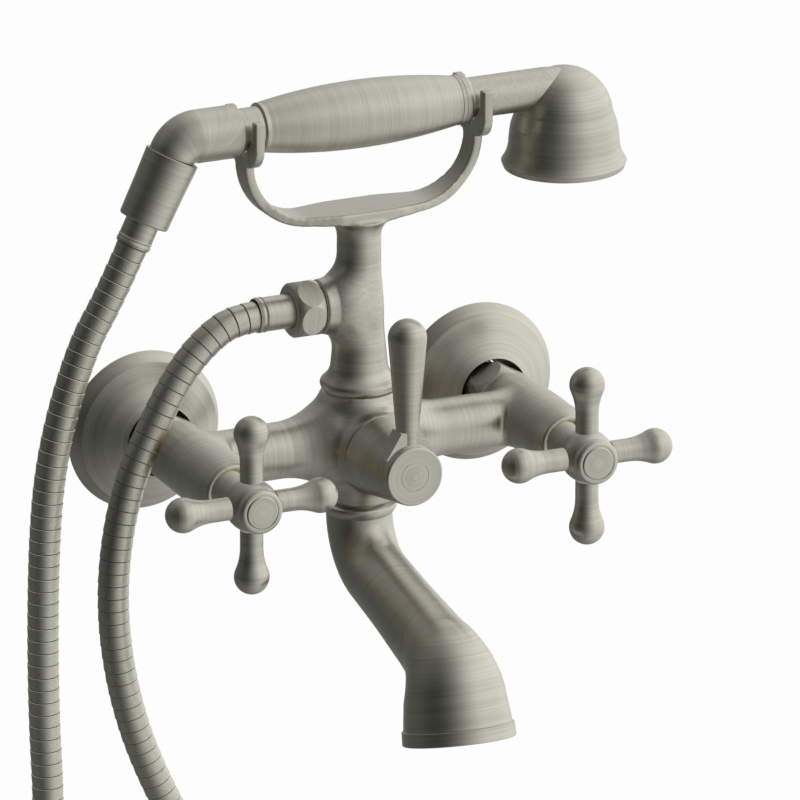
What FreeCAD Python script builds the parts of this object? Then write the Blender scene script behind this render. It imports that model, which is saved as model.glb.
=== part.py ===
import FreeCAD, Part
import math
import os
import Sketcher
from types import SimpleNamespace
from FreeCAD import Placement, Rotation, Vector

# Tub filler for two wall inlets, in millimetres.
# X runs along the crossbar to the right, Y into the wall and Z up. The origin lies on the finished
# wall, midway between the inlets. Depths are counted from the wall towards the user, along -Y.

os.makedirs("parts", exist_ok=True)
doc = FreeCAD.newDocument("tub_filler")
sheet = doc.addObject("Spreadsheet::Sheet", "sizes")

DIMENSIONS = {
    # Wall inlets: standard centres and a half-inch pipe thread on the tails
    "inlet_centres": 150.0,
    "tail_radius": 10.48,
    "tail_length": 18.0,
    "tail_end": 3.0,
    "union_waist_radius": 9.4,
    "union_thread_back": 8.0,
    "waterway_radius": 5.5,
    "cover_back_radius": 32.9,
    "cover_rim_radius": 30.8,
    "cover_rim_depth": 3.2,
    "cover_depth": 17.8,
    "cover_mouth_radius": 15.0,
    "cover_sheet": 1.2,
    "cover_bulge_radius": 70.0,
    "union_flats": 25.0,
    "union_length": 15.0,
    "union_front": 30.0,
    "union_lip": 3.0,
    "union_chamfer": 1.6,
    "spigot_radius": 8.6,
    "spigot_collar_radius": 9.6,
    "spigot_collar": 2.5,
    "washer_thickness": 2.0,
    # Mixer body: the crossbar lies bar_reach in front of the wall, and the depths in this and the
    # next two groups are counted from the bar's axis
    "bar_reach": 48.0,
    "bar_radius": 11.7,
    "bar_bore": 5.0,
    "leg_radius": 13.0,
    "shoulder_radius": 13.8,
    "shoulder_depth": 10.0,
    "crease_radius": 12.8,
    "crease_depth": 14.0,
    "cup_radius": 13.5,
    "cup_depth": 24.0,
    "barrel_face_radius": 11.7,
    "barrel_front": 42.0,
    "barrel_bore": 9.6,
    "valve_seat": -8.0,
    "core_top": 22.2,
    "core_top_radius": 15.6,
    "core_waist_radius": 20.0,
    "core_foot": -25.0,
    "core_foot_radius": 14.5,
    "boss_radius": 17.1,
    "boss_front": 23.8,
    "socket_radius": 9.5,
    "plug_front": 10.3,
    "spout_socket_depth": 12.0,
    "cast_fillet": 6.0,
    "barrel_fillet": 4.0,
    "riser_spigot": 11.5,
    "riser_spigot_radius": 9.0,
    "spout_spigot_radius": 10.5,
    "retainer_height": -23.6,
    "retainer_thickness": 1.5,
    "retainer_radius": 11.6,
    "retainer_depth": 0.9,
    "seal_groove": 1.8,
    "seal_depth": 1.4,
    "seal_half": 0.7,
    "seal_fit": 0.03,
    # Ceramic valves
    "fit_gap": 0.08,
    "seat_gap": 0.3,
    "cartridge_radius": 8.4,
    "cartridge_thread_radius": 9.52,
    "cartridge_front": 28.0,
    "seal_thickness": 1.5,
    "disc_thickness": 3.0,
    "disc_radius": 6.8,
    "stem_radius": 3.5,
    "stem_front": 56.0,
    "lock_ring_length": 5.0,
    "lock_ring_bore": 8.1,
    # Cross handles
    "handle_plane": 59.0,
    "hub_radius": 11.8,
    "skirt_radius": 7.7,
    "skirt_back": 36.0,
    "cap_bezel_radius": 9.4,
    "cap_front": 70.0,
    "cap_edge": 1.6,
    "cap_disc_radius": 6.95,
    "cap_seam": 0.2,
    "cap_thickness": 2.0,
    "arm_seat": 10.4,
    "arm_radius": 4.75,
    "arm_straight": 18.0,
    "ball_radius": 7.28,
    "ball_centre": 30.5,
    "stud_radius": 2.2,
    "stud_length": 4.0,
    "screw_radius": 2.0,
    # Diverter: the knob's back and the bonnet's front are counted from the boss, the lever from the bonnet
    "knob_back": 0.4,
    "knob_back_radius": 16.9,
    "knob_cap": 7.4,
    "knob_face_radius": 12.2,
    "knob_edge": 1.0,
    "knob_floor": 11.0,
    "knob_wall": 2.6,
    "badge_radius": 6.0,
    "badge_depth": 1.2,
    "lever_depth": 15.0,
    "lever_root_radius": 4.65,
    "lever_root": 17.0,
    "lever_tip_radius": 8.0,
    "lever_tip": 57.3,
    "lever_web": 8.4,
    "bonnet_radius": 9.0,
    "bonnet_front": 8.2,
    "plug_radius": 7.8,
    "plug_length": 22.0,
    "plug_port_radius": 4.0,
    "plug_outlet_radius": 3.4,
    # Riser and cradle
    "riser_foot": 22.5,
    "riser_flange_radius": 16.2,
    "riser_flange": 3.6,
    "riser_root_radius": 11.9,
    "riser_neck_radius": 9.1,
    "riser_neck": 74.0,
    "riser_hollow_radius": 430.0,
    "riser_bore": 5.0,
    "side_port_height": 59.2,
    "side_port_radius": 8.9,
    "side_port_reach": 18.6,
    "port_fillet": 3.0,
    "port_thread": 7.4,
    "port_thread_radius": 8.0,
    "cradle_underside": 95.0,
    "cradle_rise": 1.3,
    "cradle_band": 4.2,
    "cradle_width": 22.0,
    "cradle_arm_width": 10.6,
    "waist_start": 12.0,
    "waist_end": 44.0,
    "cradle_corner_radius": 28.5,
    "cradle_sag_radius": 240.0,
    "fork_reach": 50.9,
    "fork_plate": 4.4,
    "fork_half_width": 15.6,
    "fork_gap": 11.2,
    "fork_root": 2.8,
    "fork_neck": 3.0,
    "fork_flare": 9.0,
    "fork_flare_radius": 9.5,
    "fork_prong": 12.0,
    "saddle_rise": 5.2,
    # Spout: a tube of two bends in the plane X = 0
    "spout_top": -26.2,
    "spout_collar_radius": 15.5,
    "spout_collar": 4.0,
    "spout_start": -30.9,
    "spout_start_radius": 13.5,
    "spout_upper_bend": 24.0,
    "spout_upper_turn": 77.0,
    "spout_run": 49.0,
    "spout_run_start_radius": 14.1,
    "spout_run_end_radius": 15.0,
    "spout_lower_bend": 43.0,
    "spout_mouth_tilt": 23.0,
    "spout_tail": 5.0,
    "spout_mouth_radius": 21.6,
    "spout_band_radius": 23.3,
    "spout_band": 6.0,
    "spout_wall": 2.4,
    "aerator_seat_radius": 20.6,
    "aerator_radius": 12.0,
    "aerator_length": 9.0,
    "aerator_recess": 1.2,
    "aerator_flange": 3.0,
    # Hose and its fittings
    "hose_radius": 6.5,
    "hose_groove_radius": 5.9,
    "hose_bore_radius": 4.0,
    "hose_start": 33.0,
    "hose_ribs": 120.0,
    "check_valve_length": 14.0,
    "check_valve_bore": 1.5,
    "hose_nut_flats": 19.4,
    "hose_nut_length": 12.4,
    "ferrule_radius": 7.05,
    "ferrule_ring_radius": 7.35,
    "ferrule_reach": 46.5,
    "ferrule_flange": 0.6,
    "hose_washer_thickness": 1.5,
    "hose_lead_out": 20.8,
    "hose_lead_in": 23.35,
    "hose_end_gap": 0.1,
    # Hand shower, lying along X in the cradle
    "stem_left_radius": 8.85,
    "stem_right_radius": 8.5,
    "stem_bore": 5.5,
    "stem_wall": 1.5,
    "stem_overhang": 16.0,
    "stem_tail": 7.0,
    "grip_left": -43.0,
    "grip_right": 42.5,
    "grip_radius": 13.95,
    "grip_left_radius": 10.42,
    "grip_right_radius": 10.17,
    "grip_middle": -1.0,
    "grip_swell_radius": 250.0,
    "ring_radius": 10.3,
    "ring_length": 2.5,
    "collar_length": 5.7,
    "elbow_right": -55.0,
    "elbow_corner": -80.2,
    "elbow_radius": 10.95,
    "elbow_bend": 11.6,
    "sleeve_radius": 9.65,
    "sleeve_length": 28.6,
    "sleeve_lean": 26.0,
    "sleeve_shelf": 10.0,
    "upper_ferrule_length": 11.5,
    "head_reach": 92.1,
    "head_rise": 7.8,
    "head_dome_radius": 20.0,
    "head_wall_radius": 21.9,
    "head_skirt_radius": 22.8,
    "head_rim_radius": 25.7,
    "head_drop": 31.9,
    "head_lip": 2.4,
    "head_wall": 2.0,
    "face_radius": 22.6,
    "face_thickness": 2.4,
}


class Size:
    """A size with the formula over the sheet that gives it."""

    def __init__(self, value, formula):
        self.value = value
        self.formula = formula

    def joined(self, other, sign, value):
        return Size(value, f"({self.formula} {sign} {as_size(other).formula})")

    def __add__(self, other):
        return self.joined(other, "+", self.value + as_size(other).value)

    def __sub__(self, other):
        return self.joined(other, "-", self.value - as_size(other).value)

    def __mul__(self, other):
        return self.joined(other, "*", self.value * as_size(other).value)

    def __truediv__(self, other):
        return self.joined(other, "/", self.value / as_size(other).value)

    def __neg__(self):
        return Size(-self.value, f"(-1 * {self.formula})")

    def __radd__(self, other):
        return as_size(other) + self

    def __rsub__(self, other):
        return as_size(other) - self

    def __rmul__(self, other):
        return as_size(other) * self


def as_size(number):
    return number if isinstance(number, Size) else Size(float(number), repr(float(number)))


for row, (alias, number) in enumerate(DIMENSIONS.items(), start=1):
    sheet.set(f"A{row}", alias)
    sheet.set(f"B{row}", repr(number))
    sheet.setAlias(f"B{row}", alias)
doc.recompute()
S = SimpleNamespace(**{alias: Size(number, "sizes." + alias) for alias, number in DIMENSIONS.items()})

# Heights that follow from others: the forks stand on the arch, and the hand shower lies in the forks
S.arch_centre = S.cradle_underside + S.cradle_rise + S.cradle_corner_radius
S.fork_foot = S.arch_centre - S.fork_root
S.fork_shoulder = S.fork_foot + S.fork_neck + S.fork_flare
S.fork_top = S.fork_shoulder + S.fork_prong
S.grip_height = S.fork_shoulder + S.saddle_rise
S.head_top = S.grip_height + S.head_rise
S.head_rim = S.grip_height - S.head_drop
S.head_foot = S.head_rim - S.head_lip

# From here on every depth is counted from the wall: what sits on the crossbar moves with it, and the
# knob's face and hollow keep their distance from the lever
for alias in ("shoulder_depth", "crease_depth", "cup_depth", "barrel_front", "valve_seat", "boss_front",
              "plug_front", "cartridge_front", "stem_front", "handle_plane", "skirt_back", "cap_front"):
    setattr(S, alias, S.bar_reach + getattr(S, alias))
S.knob_back = S.boss_front + S.knob_back
S.bonnet_front = S.boss_front + S.bonnet_front
S.lever_depth = S.bonnet_front + S.lever_depth
S.knob_face = S.lever_depth + S.knob_cap
S.knob_hollow_depth = S.lever_depth - S.knob_floor

ZERO = as_size(0)
TOWARDS_USER = (Vector(1, 0, 0), 90)
TOWARDS_LEFT = (Vector(0, 1, 0), -90)
TOWARDS_RIGHT = (Vector(0, 1, 0), 90)
UPRIGHT = (Vector(0, 0, 1), 0)
SIDES = {"left": -1, "right": 1}


def new_body(name, base=(0, 0, 0), facing=UPRIGHT):
    """A body whose own Z axis points along facing and whose origin lies at base."""
    body = doc.addObject("PartDesign::Body", name)
    body.Label = name
    axis, angle = facing
    base = [as_size(number) for number in base]
    body.Placement = Placement(Vector(*(number.value for number in base)), Rotation(axis, angle))
    for letter, number in zip("xyz", base):
        body.setExpression(f"Placement.Base.{letter}", number.formula)
    return body


def new_sketch(body, plane, name, shift=(0, 0, 0)):
    """A sketch on one of the body's own origin planes, moved in that plane's own axes."""
    sketch = body.newObject("Sketcher::SketchObject", name)
    origin_plane = [feature for feature in body.Origin.OriginFeatures if feature.Role == plane][0]
    sketch.AttachmentSupport = (origin_plane, "")
    sketch.MapMode = "FlatFace"
    for letter, number in zip("xyz", shift):
        sketch.setExpression(f"AttachmentOffset.Base.{letter}", as_size(number).formula)
    return sketch


def fix_point(sketch, geometry, end, point):
    """Ties one end of a line or arc to its place, as formulas of the sheet."""
    for kind, axis, number in (("DistanceX", -2, point[0]), ("DistanceY", -1, point[1])):
        if number is ZERO:
            sketch.addConstraint(Sketcher.Constraint("PointOnObject", geometry, end, axis))
        else:
            index = sketch.addConstraint(Sketcher.Constraint(kind, -1, 1, geometry, end, number.value))
            sketch.setExpression(f"Constraints[{index}]", number.formula)


def draw_outline(sketch, steps):
    """Draws a closed outline. A step is a point, or a point and the radius of the arc that leads to it:
    positive turns left on the way there, and negative turns right."""
    points = [(as_size_or_zero(step[0]), as_size_or_zero(step[1])) for step in steps]
    first_end = []
    last_end = []
    for number, step in enumerate(steps):
        start = points[number - 1]
        finish = points[number]
        here = Vector(start[0].value, start[1].value, 0)
        there = Vector(finish[0].value, finish[1].value, 0)
        if len(step) == 2:
            index = sketch.addGeometry(Part.LineSegment(here, there), False)
            first_end.append((index, 1))
            last_end.append((index, 2))
        else:
            radius = as_size(step[2])
            leftwards = radius.value > 0
            size = radius if leftwards else -radius
            chord = there.sub(here)
            rise = math.sqrt(max(size.value**2 - (chord.Length / 2) ** 2, 0.0))
            normal = Vector(-chord.y, chord.x, 0).normalize()
            centre = here.add(there).multiply(0.5).add(normal.multiply(rise if leftwards else -rise))
            begin, stop = (here, there) if leftwards else (there, here)
            angles = [math.atan2(end.y - centre.y, end.x - centre.x) for end in (begin, stop)]
            circle = Part.Circle(centre, Vector(0, 0, 1), size.value)
            index = sketch.addGeometry(Part.ArcOfCircle(circle, *angles), False)
            bound = sketch.addConstraint(Sketcher.Constraint("Radius", index, size.value))
            sketch.setExpression(f"Constraints[{bound}]", size.formula)
            first_end.append((index, 1 if leftwards else 2))
            last_end.append((index, 2 if leftwards else 1))
    for number in range(len(steps)):
        sketch.addConstraint(Sketcher.Constraint("Coincident", *last_end[number - 1], *first_end[number]))
        fix_point(sketch, *last_end[number], points[number])


def as_size_or_zero(number):
    return ZERO if isinstance(number, (int, float)) and number == 0 else as_size(number)


def turn(body, name, steps, plane="XZ_Plane", axis="V_Axis", shift=(0, 0, 0), cut=False):
    """Revolves an outline, or cuts what it sweeps."""
    sketch = new_sketch(body, plane, name + "_outline", shift)
    draw_outline(sketch, steps)
    feature = body.newObject("PartDesign::Groove" if cut else "PartDesign::Revolution", name)
    feature.Profile = (sketch, [""])
    feature.ReferenceAxis = (sketch, [axis])
    feature.Angle = 360
    body.Tip = feature
    return feature


def turned(name, steps, base=(0, 0, 0), facing=UPRIGHT):
    """A piece made on a lathe: pairs of radius and height along the body's own axis."""
    body = new_body(name, base, facing)
    turn(body, name + "_turned", steps)
    return body


def ring(name, inner, outer, low, high, base=(0, 0, 0), facing=UPRIGHT):
    """A plain washer or tube."""
    return turned(name, [(inner, low), (outer, low), (outer, high), (inner, high)], base, facing)


def bore(body, name, radius, low, high, **where):
    """A round hole about the sketch's axis."""
    return turn(body, name, [(0, low), (radius, low), (radius, high), (0, high)], cut=True, **where)


def pad(body, name, steps, plane, length, shift=(0, 0, 0), symmetric=True, cut=False):
    """Pads an outline square to its plane, or pockets it."""
    sketch = new_sketch(body, plane, name + "_outline", shift)
    draw_outline(sketch, steps)
    feature = body.newObject("PartDesign::Pocket" if cut else "PartDesign::Pad", name)
    feature.Profile = (sketch, [""])
    feature.SideType = "Symmetric" if symmetric else "One side"
    feature.Length = as_size(length).value
    feature.setExpression("Length", as_size(length).formula)
    body.Tip = feature
    return feature


def round_edges(body, name, radius, chosen):
    """Rounds the edges of the body so far that chosen picks by their place."""
    doc.recompute()
    base = body.Tip
    names = [f"Edge{n}" for n, edge in enumerate(base.Shape.Edges, start=1) if chosen(edge)]
    feature = body.newObject("PartDesign::Fillet", name)
    feature.Base = (base, names)
    feature.Radius = as_size(radius).value
    feature.setExpression("Radius", as_size(radius).formula)
    body.Tip = feature
    return len(names)


def hexagon(flats, start_angle=0):
    """The corners of a hexagon from its width across flats."""
    corner = flats / math.sqrt(3)
    angles = [math.radians(60 * n + start_angle) for n in range(6)]
    return [(corner * round(math.cos(a), 9), corner * round(math.sin(a), 9)) for a in angles]


def custom(name, shape):
    """A piece whose shape is worked out in this file, from the sheet's sizes."""
    piece = doc.addObject("Part::Feature", name)
    piece.Label = name
    piece.Shape = shape
    return piece


half_centres = S.inlet_centres / 2
bar_line = -S.bar_reach


def wall_cover(side, x):
    """Escutcheon: a pressed bell that lies on the wall, with a rolled rim and a seam behind its face."""
    seam = 0.5
    bulge = S.cover_bulge_radius
    rim = S.cover_rim_radius
    sheet_now = S.cover_sheet
    steps = [
        (S.cover_back_radius, 0),
        (rim + seam, S.cover_rim_depth - seam),
        (rim - seam, S.cover_rim_depth),
        (rim, S.cover_rim_depth + seam),
        (S.cover_mouth_radius, S.cover_depth, bulge),
        (S.cover_mouth_radius, S.cover_depth - 2 * sheet_now),
        (rim - 2 * sheet_now, S.cover_rim_depth - seam, -bulge),
        (S.cover_back_radius - 2 * sheet_now, 0),
    ]
    return turned(f"{side}_escutcheon", steps, (x, 0, 0), TOWARDS_USER)


def wall_union(side, x):
    """Hollow tail: its rear thread goes into the wall fitting, its front thread takes the union nut."""
    face = S.union_front - S.union_lip - S.spigot_collar - S.washer_thickness
    inner = S.waterway_radius
    steps = [
        (inner, -S.tail_length),
        (S.tail_radius - 1, -S.tail_length),
        (S.tail_radius, -S.tail_length + 1),
        (S.tail_radius, -S.tail_end),
        (S.union_waist_radius, -S.tail_end),
        (S.union_waist_radius, S.union_thread_back),
        (S.tail_radius, S.union_thread_back),
        (S.tail_radius, face - 1),
        (S.tail_radius - 1, face),
        (inner, face),
    ]
    return turned(f"{side}_wall_union", steps, (x, 0, 0), TOWARDS_USER)


def union_nut(side, x):
    """Hexagon nut that is captive on the body's spigot: its lip pulls the spigot's collar."""
    body = new_body(f"{side}_union_nut", (x, 0, 0), TOWARDS_USER)
    back = S.union_front - S.union_length
    pad(body, f"{side}_union_hexagon", hexagon(S.union_flats, 30), "XY_Plane", S.union_length,
        (0, 0, back), symmetric=False)
    corner = S.union_flats / math.sqrt(3) + 1
    flat = S.union_flats / 2
    for end, height, inward in (("rear", back, 1), ("front", S.union_front, -1)):
        turn(body, f"{side}_union_{end}_chamfer",
             [(flat, height), (corner, height), (corner, height + inward * S.union_chamfer)], cut=True)
    bore(body, f"{side}_union_thread", S.tail_radius + S.fit_gap, back, S.union_front - S.union_lip)
    bore(body, f"{side}_union_lip_hole", S.spigot_radius + S.fit_gap, back, S.union_front)
    return body


def union_washer(side, x):
    low = S.union_front - S.union_lip - S.spigot_collar - S.washer_thickness
    return ring(f"{side}_union_washer", S.waterway_radius, S.spigot_collar_radius, low,
                low + S.washer_thickness, (x, 0, 0), TOWARDS_USER)


def depth(number):
    """A depth from the wall as a height in the mixer body, whose origin lies on the crossbar's axis."""
    return S.bar_reach - number


def sharp_meeting(edge):
    """The curved edges where two turned surfaces run into each other."""
    try:
        return type(edge.Curve).__name__ == "BSplineCurve"
    except TypeError:
        return False


def mixer_body():
    """The casting: a crossbar between two valve barrels, and an upright core with the diverter's boss."""
    body = new_body("mixer_body", (0, bar_line, 0))
    turn(body, "crossbar", [
        (-half_centres, 0), (half_centres, 0), (half_centres, S.bar_radius), (-half_centres, S.bar_radius),
    ], axis="H_Axis")
    turn(body, "core", [
        (0, S.core_foot), (S.core_foot_radius, S.core_foot), (S.core_waist_radius, 0, 75),
        (S.core_top_radius, S.core_top, 60), (0, S.core_top),
    ])
    turn(body, "front_boss", [
        (0, 0), (S.boss_radius + 0.6, 0), (S.boss_radius, depth(S.boss_front)), (0, depth(S.boss_front)),
    ], plane="XY_Plane")
    round_edges(body, "core_fillets", S.cast_fillet, sharp_meeting)
    leg_back = S.union_front + 0.4
    for side, sign in SIDES.items():
        turn(body, f"{side}_barrel", [
            (0, depth(leg_back)), (S.leg_radius - 0.8, depth(leg_back)),
            (S.leg_radius, depth(leg_back + 0.8)), (S.shoulder_radius, depth(S.shoulder_depth - 4)),
            (S.shoulder_radius, depth(S.barrel_front)), (0, depth(S.barrel_front)),
        ], plane="XY_Plane", shift=(sign * half_centres, 0, 0))

    def at_barrel(edge):
        return sharp_meeting(edge) and abs(edge.BoundBox.Center.x) > half_centres.value - 20

    round_edges(body, "barrel_fillets", S.barrel_fillet, at_barrel)
    outside = S.shoulder_radius + 3
    for side, sign in SIDES.items():
        turn(body, f"{side}_barrel_form", [
            (outside, depth(S.barrel_front + 1)), (outside, depth(S.shoulder_depth)),
            (S.shoulder_radius + 0.05, depth(S.shoulder_depth - 1)),
            (S.crease_radius, depth(S.crease_depth), -6),
            (S.cup_radius, depth(S.cup_depth), -40),
            (S.barrel_face_radius, depth(S.barrel_front), -60),
            (S.barrel_face_radius, depth(S.barrel_front + 1)),
        ], plane="XY_Plane", shift=(sign * half_centres, 0, 0), cut=True)
    collar_back = S.union_front - S.union_lip - S.spigot_collar
    for side, sign in SIDES.items():
        turn(body, f"{side}_spigot", [
            (0, depth(collar_back)), (S.spigot_collar_radius, depth(collar_back)),
            (S.spigot_collar_radius, depth(S.union_front - S.union_lip)),
            (S.spigot_radius, depth(S.union_front - S.union_lip)),
            (S.spigot_radius, depth(leg_back)), (0, depth(leg_back)),
        ], plane="XY_Plane", shift=(sign * half_centres, 0, 0))
    for side, sign in SIDES.items():
        place = {"plane": "XY_Plane", "shift": (sign * half_centres, 0, 0)}
        bore(body, f"{side}_valve_bore", S.barrel_bore, depth(S.valve_seat), depth(S.barrel_front), **place)
        bore(body, f"{side}_inlet_bore", S.waterway_radius, depth(collar_back), depth(S.valve_seat), **place)
    turn(body, "crossbar_bore", [
        (-half_centres, 0), (half_centres, 0), (half_centres, S.bar_bore), (-half_centres, S.bar_bore),
    ], axis="H_Axis", cut=True)
    bore(body, "diverter_socket", S.socket_radius, depth(S.plug_front), depth(S.boss_front), plane="XY_Plane")
    bore(body, "diverter_chamber", S.plug_radius + S.fit_gap, depth(S.plug_front - S.plug_length),
         depth(S.plug_front), plane="XY_Plane")
    riser_socket_foot = S.core_top - S.riser_spigot
    bore(body, "riser_socket", S.riser_spigot_radius + S.fit_gap, riser_socket_foot, S.core_top)
    bore(body, "riser_passage", S.riser_bore, 0, S.core_top)
    socket_top = S.core_foot + S.spout_socket_depth
    bore(body, "spout_socket", S.spout_spigot_radius + S.fit_gap, S.core_foot, socket_top)
    bore(body, "spout_passage", S.riser_bore, S.core_foot, 0)
    turn(body, "retainer_groove", [
        (0, S.retainer_height), (S.retainer_radius, S.retainer_height),
        (S.retainer_radius, S.retainer_height + S.retainer_thickness),
        (0, S.retainer_height + S.retainer_thickness),
    ], cut=True)
    return body


def valve(side, x):
    """Ceramic valve in its barrel: housing, rear seal, two discs, the stem that turns one, and a ring."""
    place = ((x, 0, 0), TOWARDS_USER)
    disc_back = S.valve_seat + S.seal_thickness
    running = disc_back + S.disc_thickness
    turning_back = running + 0.05
    stem_back = turning_back + S.disc_thickness
    head = S.cartridge_front - S.lock_ring_length
    ring(f"{side}_seat_seal", S.waterway_radius, S.cartridge_radius, S.valve_seat, disc_back, *place)
    housing = turned(f"{side}_cartridge", [
        (S.disc_radius + 0.2, disc_back), (S.cartridge_radius, disc_back), (S.cartridge_radius, head - 12),
        (S.cartridge_thread_radius, head - 12), (S.cartridge_thread_radius, head),
        (S.lock_ring_bore - 0.1, head), (S.lock_ring_bore - 0.1, S.cartridge_front),
        (S.stem_radius + S.fit_gap, S.cartridge_front), (S.stem_radius + S.fit_gap, stem_back + 3.4),
        (S.disc_radius + 0.2, stem_back + 3.4),
    ], *place)
    window = S.stem_radius
    pad(housing, f"{side}_cartridge_windows", [
        (-window, turning_back), (window, turning_back), (window, stem_back + 2), (-window, stem_back + 2),
    ], "YZ_Plane", 3 * S.cartridge_radius, cut=True)
    fixed = turned(f"{side}_fixed_disc", [
        (0, disc_back), (S.disc_radius, disc_back), (S.disc_radius, running), (0, running)], *place)
    moving = turned(f"{side}_turning_disc", [
        (0, turning_back), (S.disc_radius - 0.2, turning_back), (S.disc_radius - 0.2, stem_back),
        (0, stem_back)], *place)
    port = S.disc_radius - 1.6
    for disc, label in ((fixed, "fixed"), (moving, "turning")):
        pad(disc, f"{side}_{label}_port", [(1, 1), (port, 1), (1, port, port - 1)], "XY_Plane",
            S.stem_front * 2, cut=True)
    turned(f"{side}_stem", [
        (0, stem_back), (S.disc_radius - 0.2, stem_back), (S.disc_radius - 0.2, stem_back + 3),
        (S.stem_radius, stem_back + 3), (S.stem_radius, S.stem_front), (S.screw_radius, S.stem_front),
        (S.screw_radius, S.stem_front - 10), (0, S.stem_front - 10),
    ], *place)
    ring(f"{side}_lock_ring", S.lock_ring_bore, S.cartridge_thread_radius, head, S.cartridge_front, *place)


def handle(side, x):
    """Cross handle: a ball hub on the stem, four screwed-in arms with ball ends, and a cap on its screw."""
    place = ((x, 0, 0), TOWARDS_USER)
    plane = S.handle_plane
    shoulder = plane - 7.4
    bezel = plane + 6.6
    cap_back = S.cap_front - S.cap_thickness
    hub = turned(f"{side}_hub", [
        (S.stem_radius, S.skirt_back), (S.skirt_radius, S.skirt_back), (S.skirt_radius, shoulder - 0.6),
        (S.skirt_radius + 0.5, shoulder - 0.6), (S.skirt_radius + 0.5, shoulder),
        (S.cap_bezel_radius - 0.4, bezel, S.hub_radius), (S.cap_bezel_radius, bezel + 0.6),
        (S.cap_bezel_radius, S.cap_front - S.cap_edge - 0.4),
        (S.cap_bezel_radius - S.cap_edge, S.cap_front, S.cap_edge + 0.3),
        (S.cap_disc_radius + S.cap_seam, S.cap_front), (S.cap_disc_radius + S.cap_seam, cap_back),
        (S.screw_radius * 2, cap_back), (S.screw_radius * 2, S.stem_front + 5),
        (S.screw_radius, S.stem_front + 5), (S.screw_radius, S.stem_front), (S.stem_radius, S.stem_front),
    ], *place)
    reach = S.hub_radius + 2
    hole = turn(hub, f"{side}_arm_hole", [
        (S.arm_seat - S.stud_length, 0), (reach, 0), (reach, S.arm_radius + 0.1),
        (S.arm_seat, S.arm_radius + 0.1), (S.arm_seat, S.stud_radius),
        (S.arm_seat - S.stud_length, S.stud_radius),
    ], axis="H_Axis", shift=(0, plane, 0), cut=True)
    round_about(hub, f"{side}_arm_holes", hole)
    arms = new_body(f"{side}_handle_arms", *place)
    arms.AllowCompound = True
    swell = S.ball_centre - S.arm_straight
    flare = (S.arm_radius * S.arm_radius + swell * swell - S.ball_radius * S.ball_radius)
    flare = flare / (2 * (S.ball_radius - S.arm_radius))
    along = swell * flare / (flare + S.ball_radius)
    rise = (flare + S.arm_radius) * S.ball_radius / (flare + S.ball_radius)
    tip = S.ball_centre + S.ball_radius
    arm = turn(arms, f"{side}_arm", [
        (S.arm_seat - S.stud_length, 0), (tip, 0), (S.arm_straight + along, rise, S.ball_radius),
        (S.arm_straight, S.arm_radius, -flare), (S.arm_seat, S.arm_radius), (S.arm_seat, S.stud_radius),
        (S.arm_seat - S.stud_length, S.stud_radius),
    ], axis="H_Axis", shift=(0, plane, 0))
    round_about(arms, f"{side}_arm_ring", arm)
    turned(f"{side}_cap", [
        (0, cap_back), (S.cap_disc_radius, cap_back), (S.cap_disc_radius, S.cap_front - 0.2),
        (S.cap_disc_radius - 0.5, S.cap_front + 0.3), (0, S.cap_front + 0.5),
    ], *place)
    turned(f"{side}_handle_screw", [
        (0, S.stem_front - 9), (S.screw_radius, S.stem_front - 9), (S.screw_radius, S.stem_front + 5),
        (S.screw_radius * 1.8, S.stem_front + 5), (S.screw_radius * 1.8, S.stem_front + 8),
        (0, S.stem_front + 8),
    ], *place)


def round_about(body, name, feature, count=4):
    """Repeats a feature evenly about the body's own Z axis."""
    pattern = body.newObject("PartDesign::PolarPattern", name)
    pattern.Originals = [feature]
    upright = [line for line in body.Origin.OriginFeatures if line.Role == "Z_Axis"][0]
    pattern.Axis = (upright, [""])
    pattern.Angle = 360
    pattern.Occurrences = count
    body.Tip = pattern
    return pattern


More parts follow.
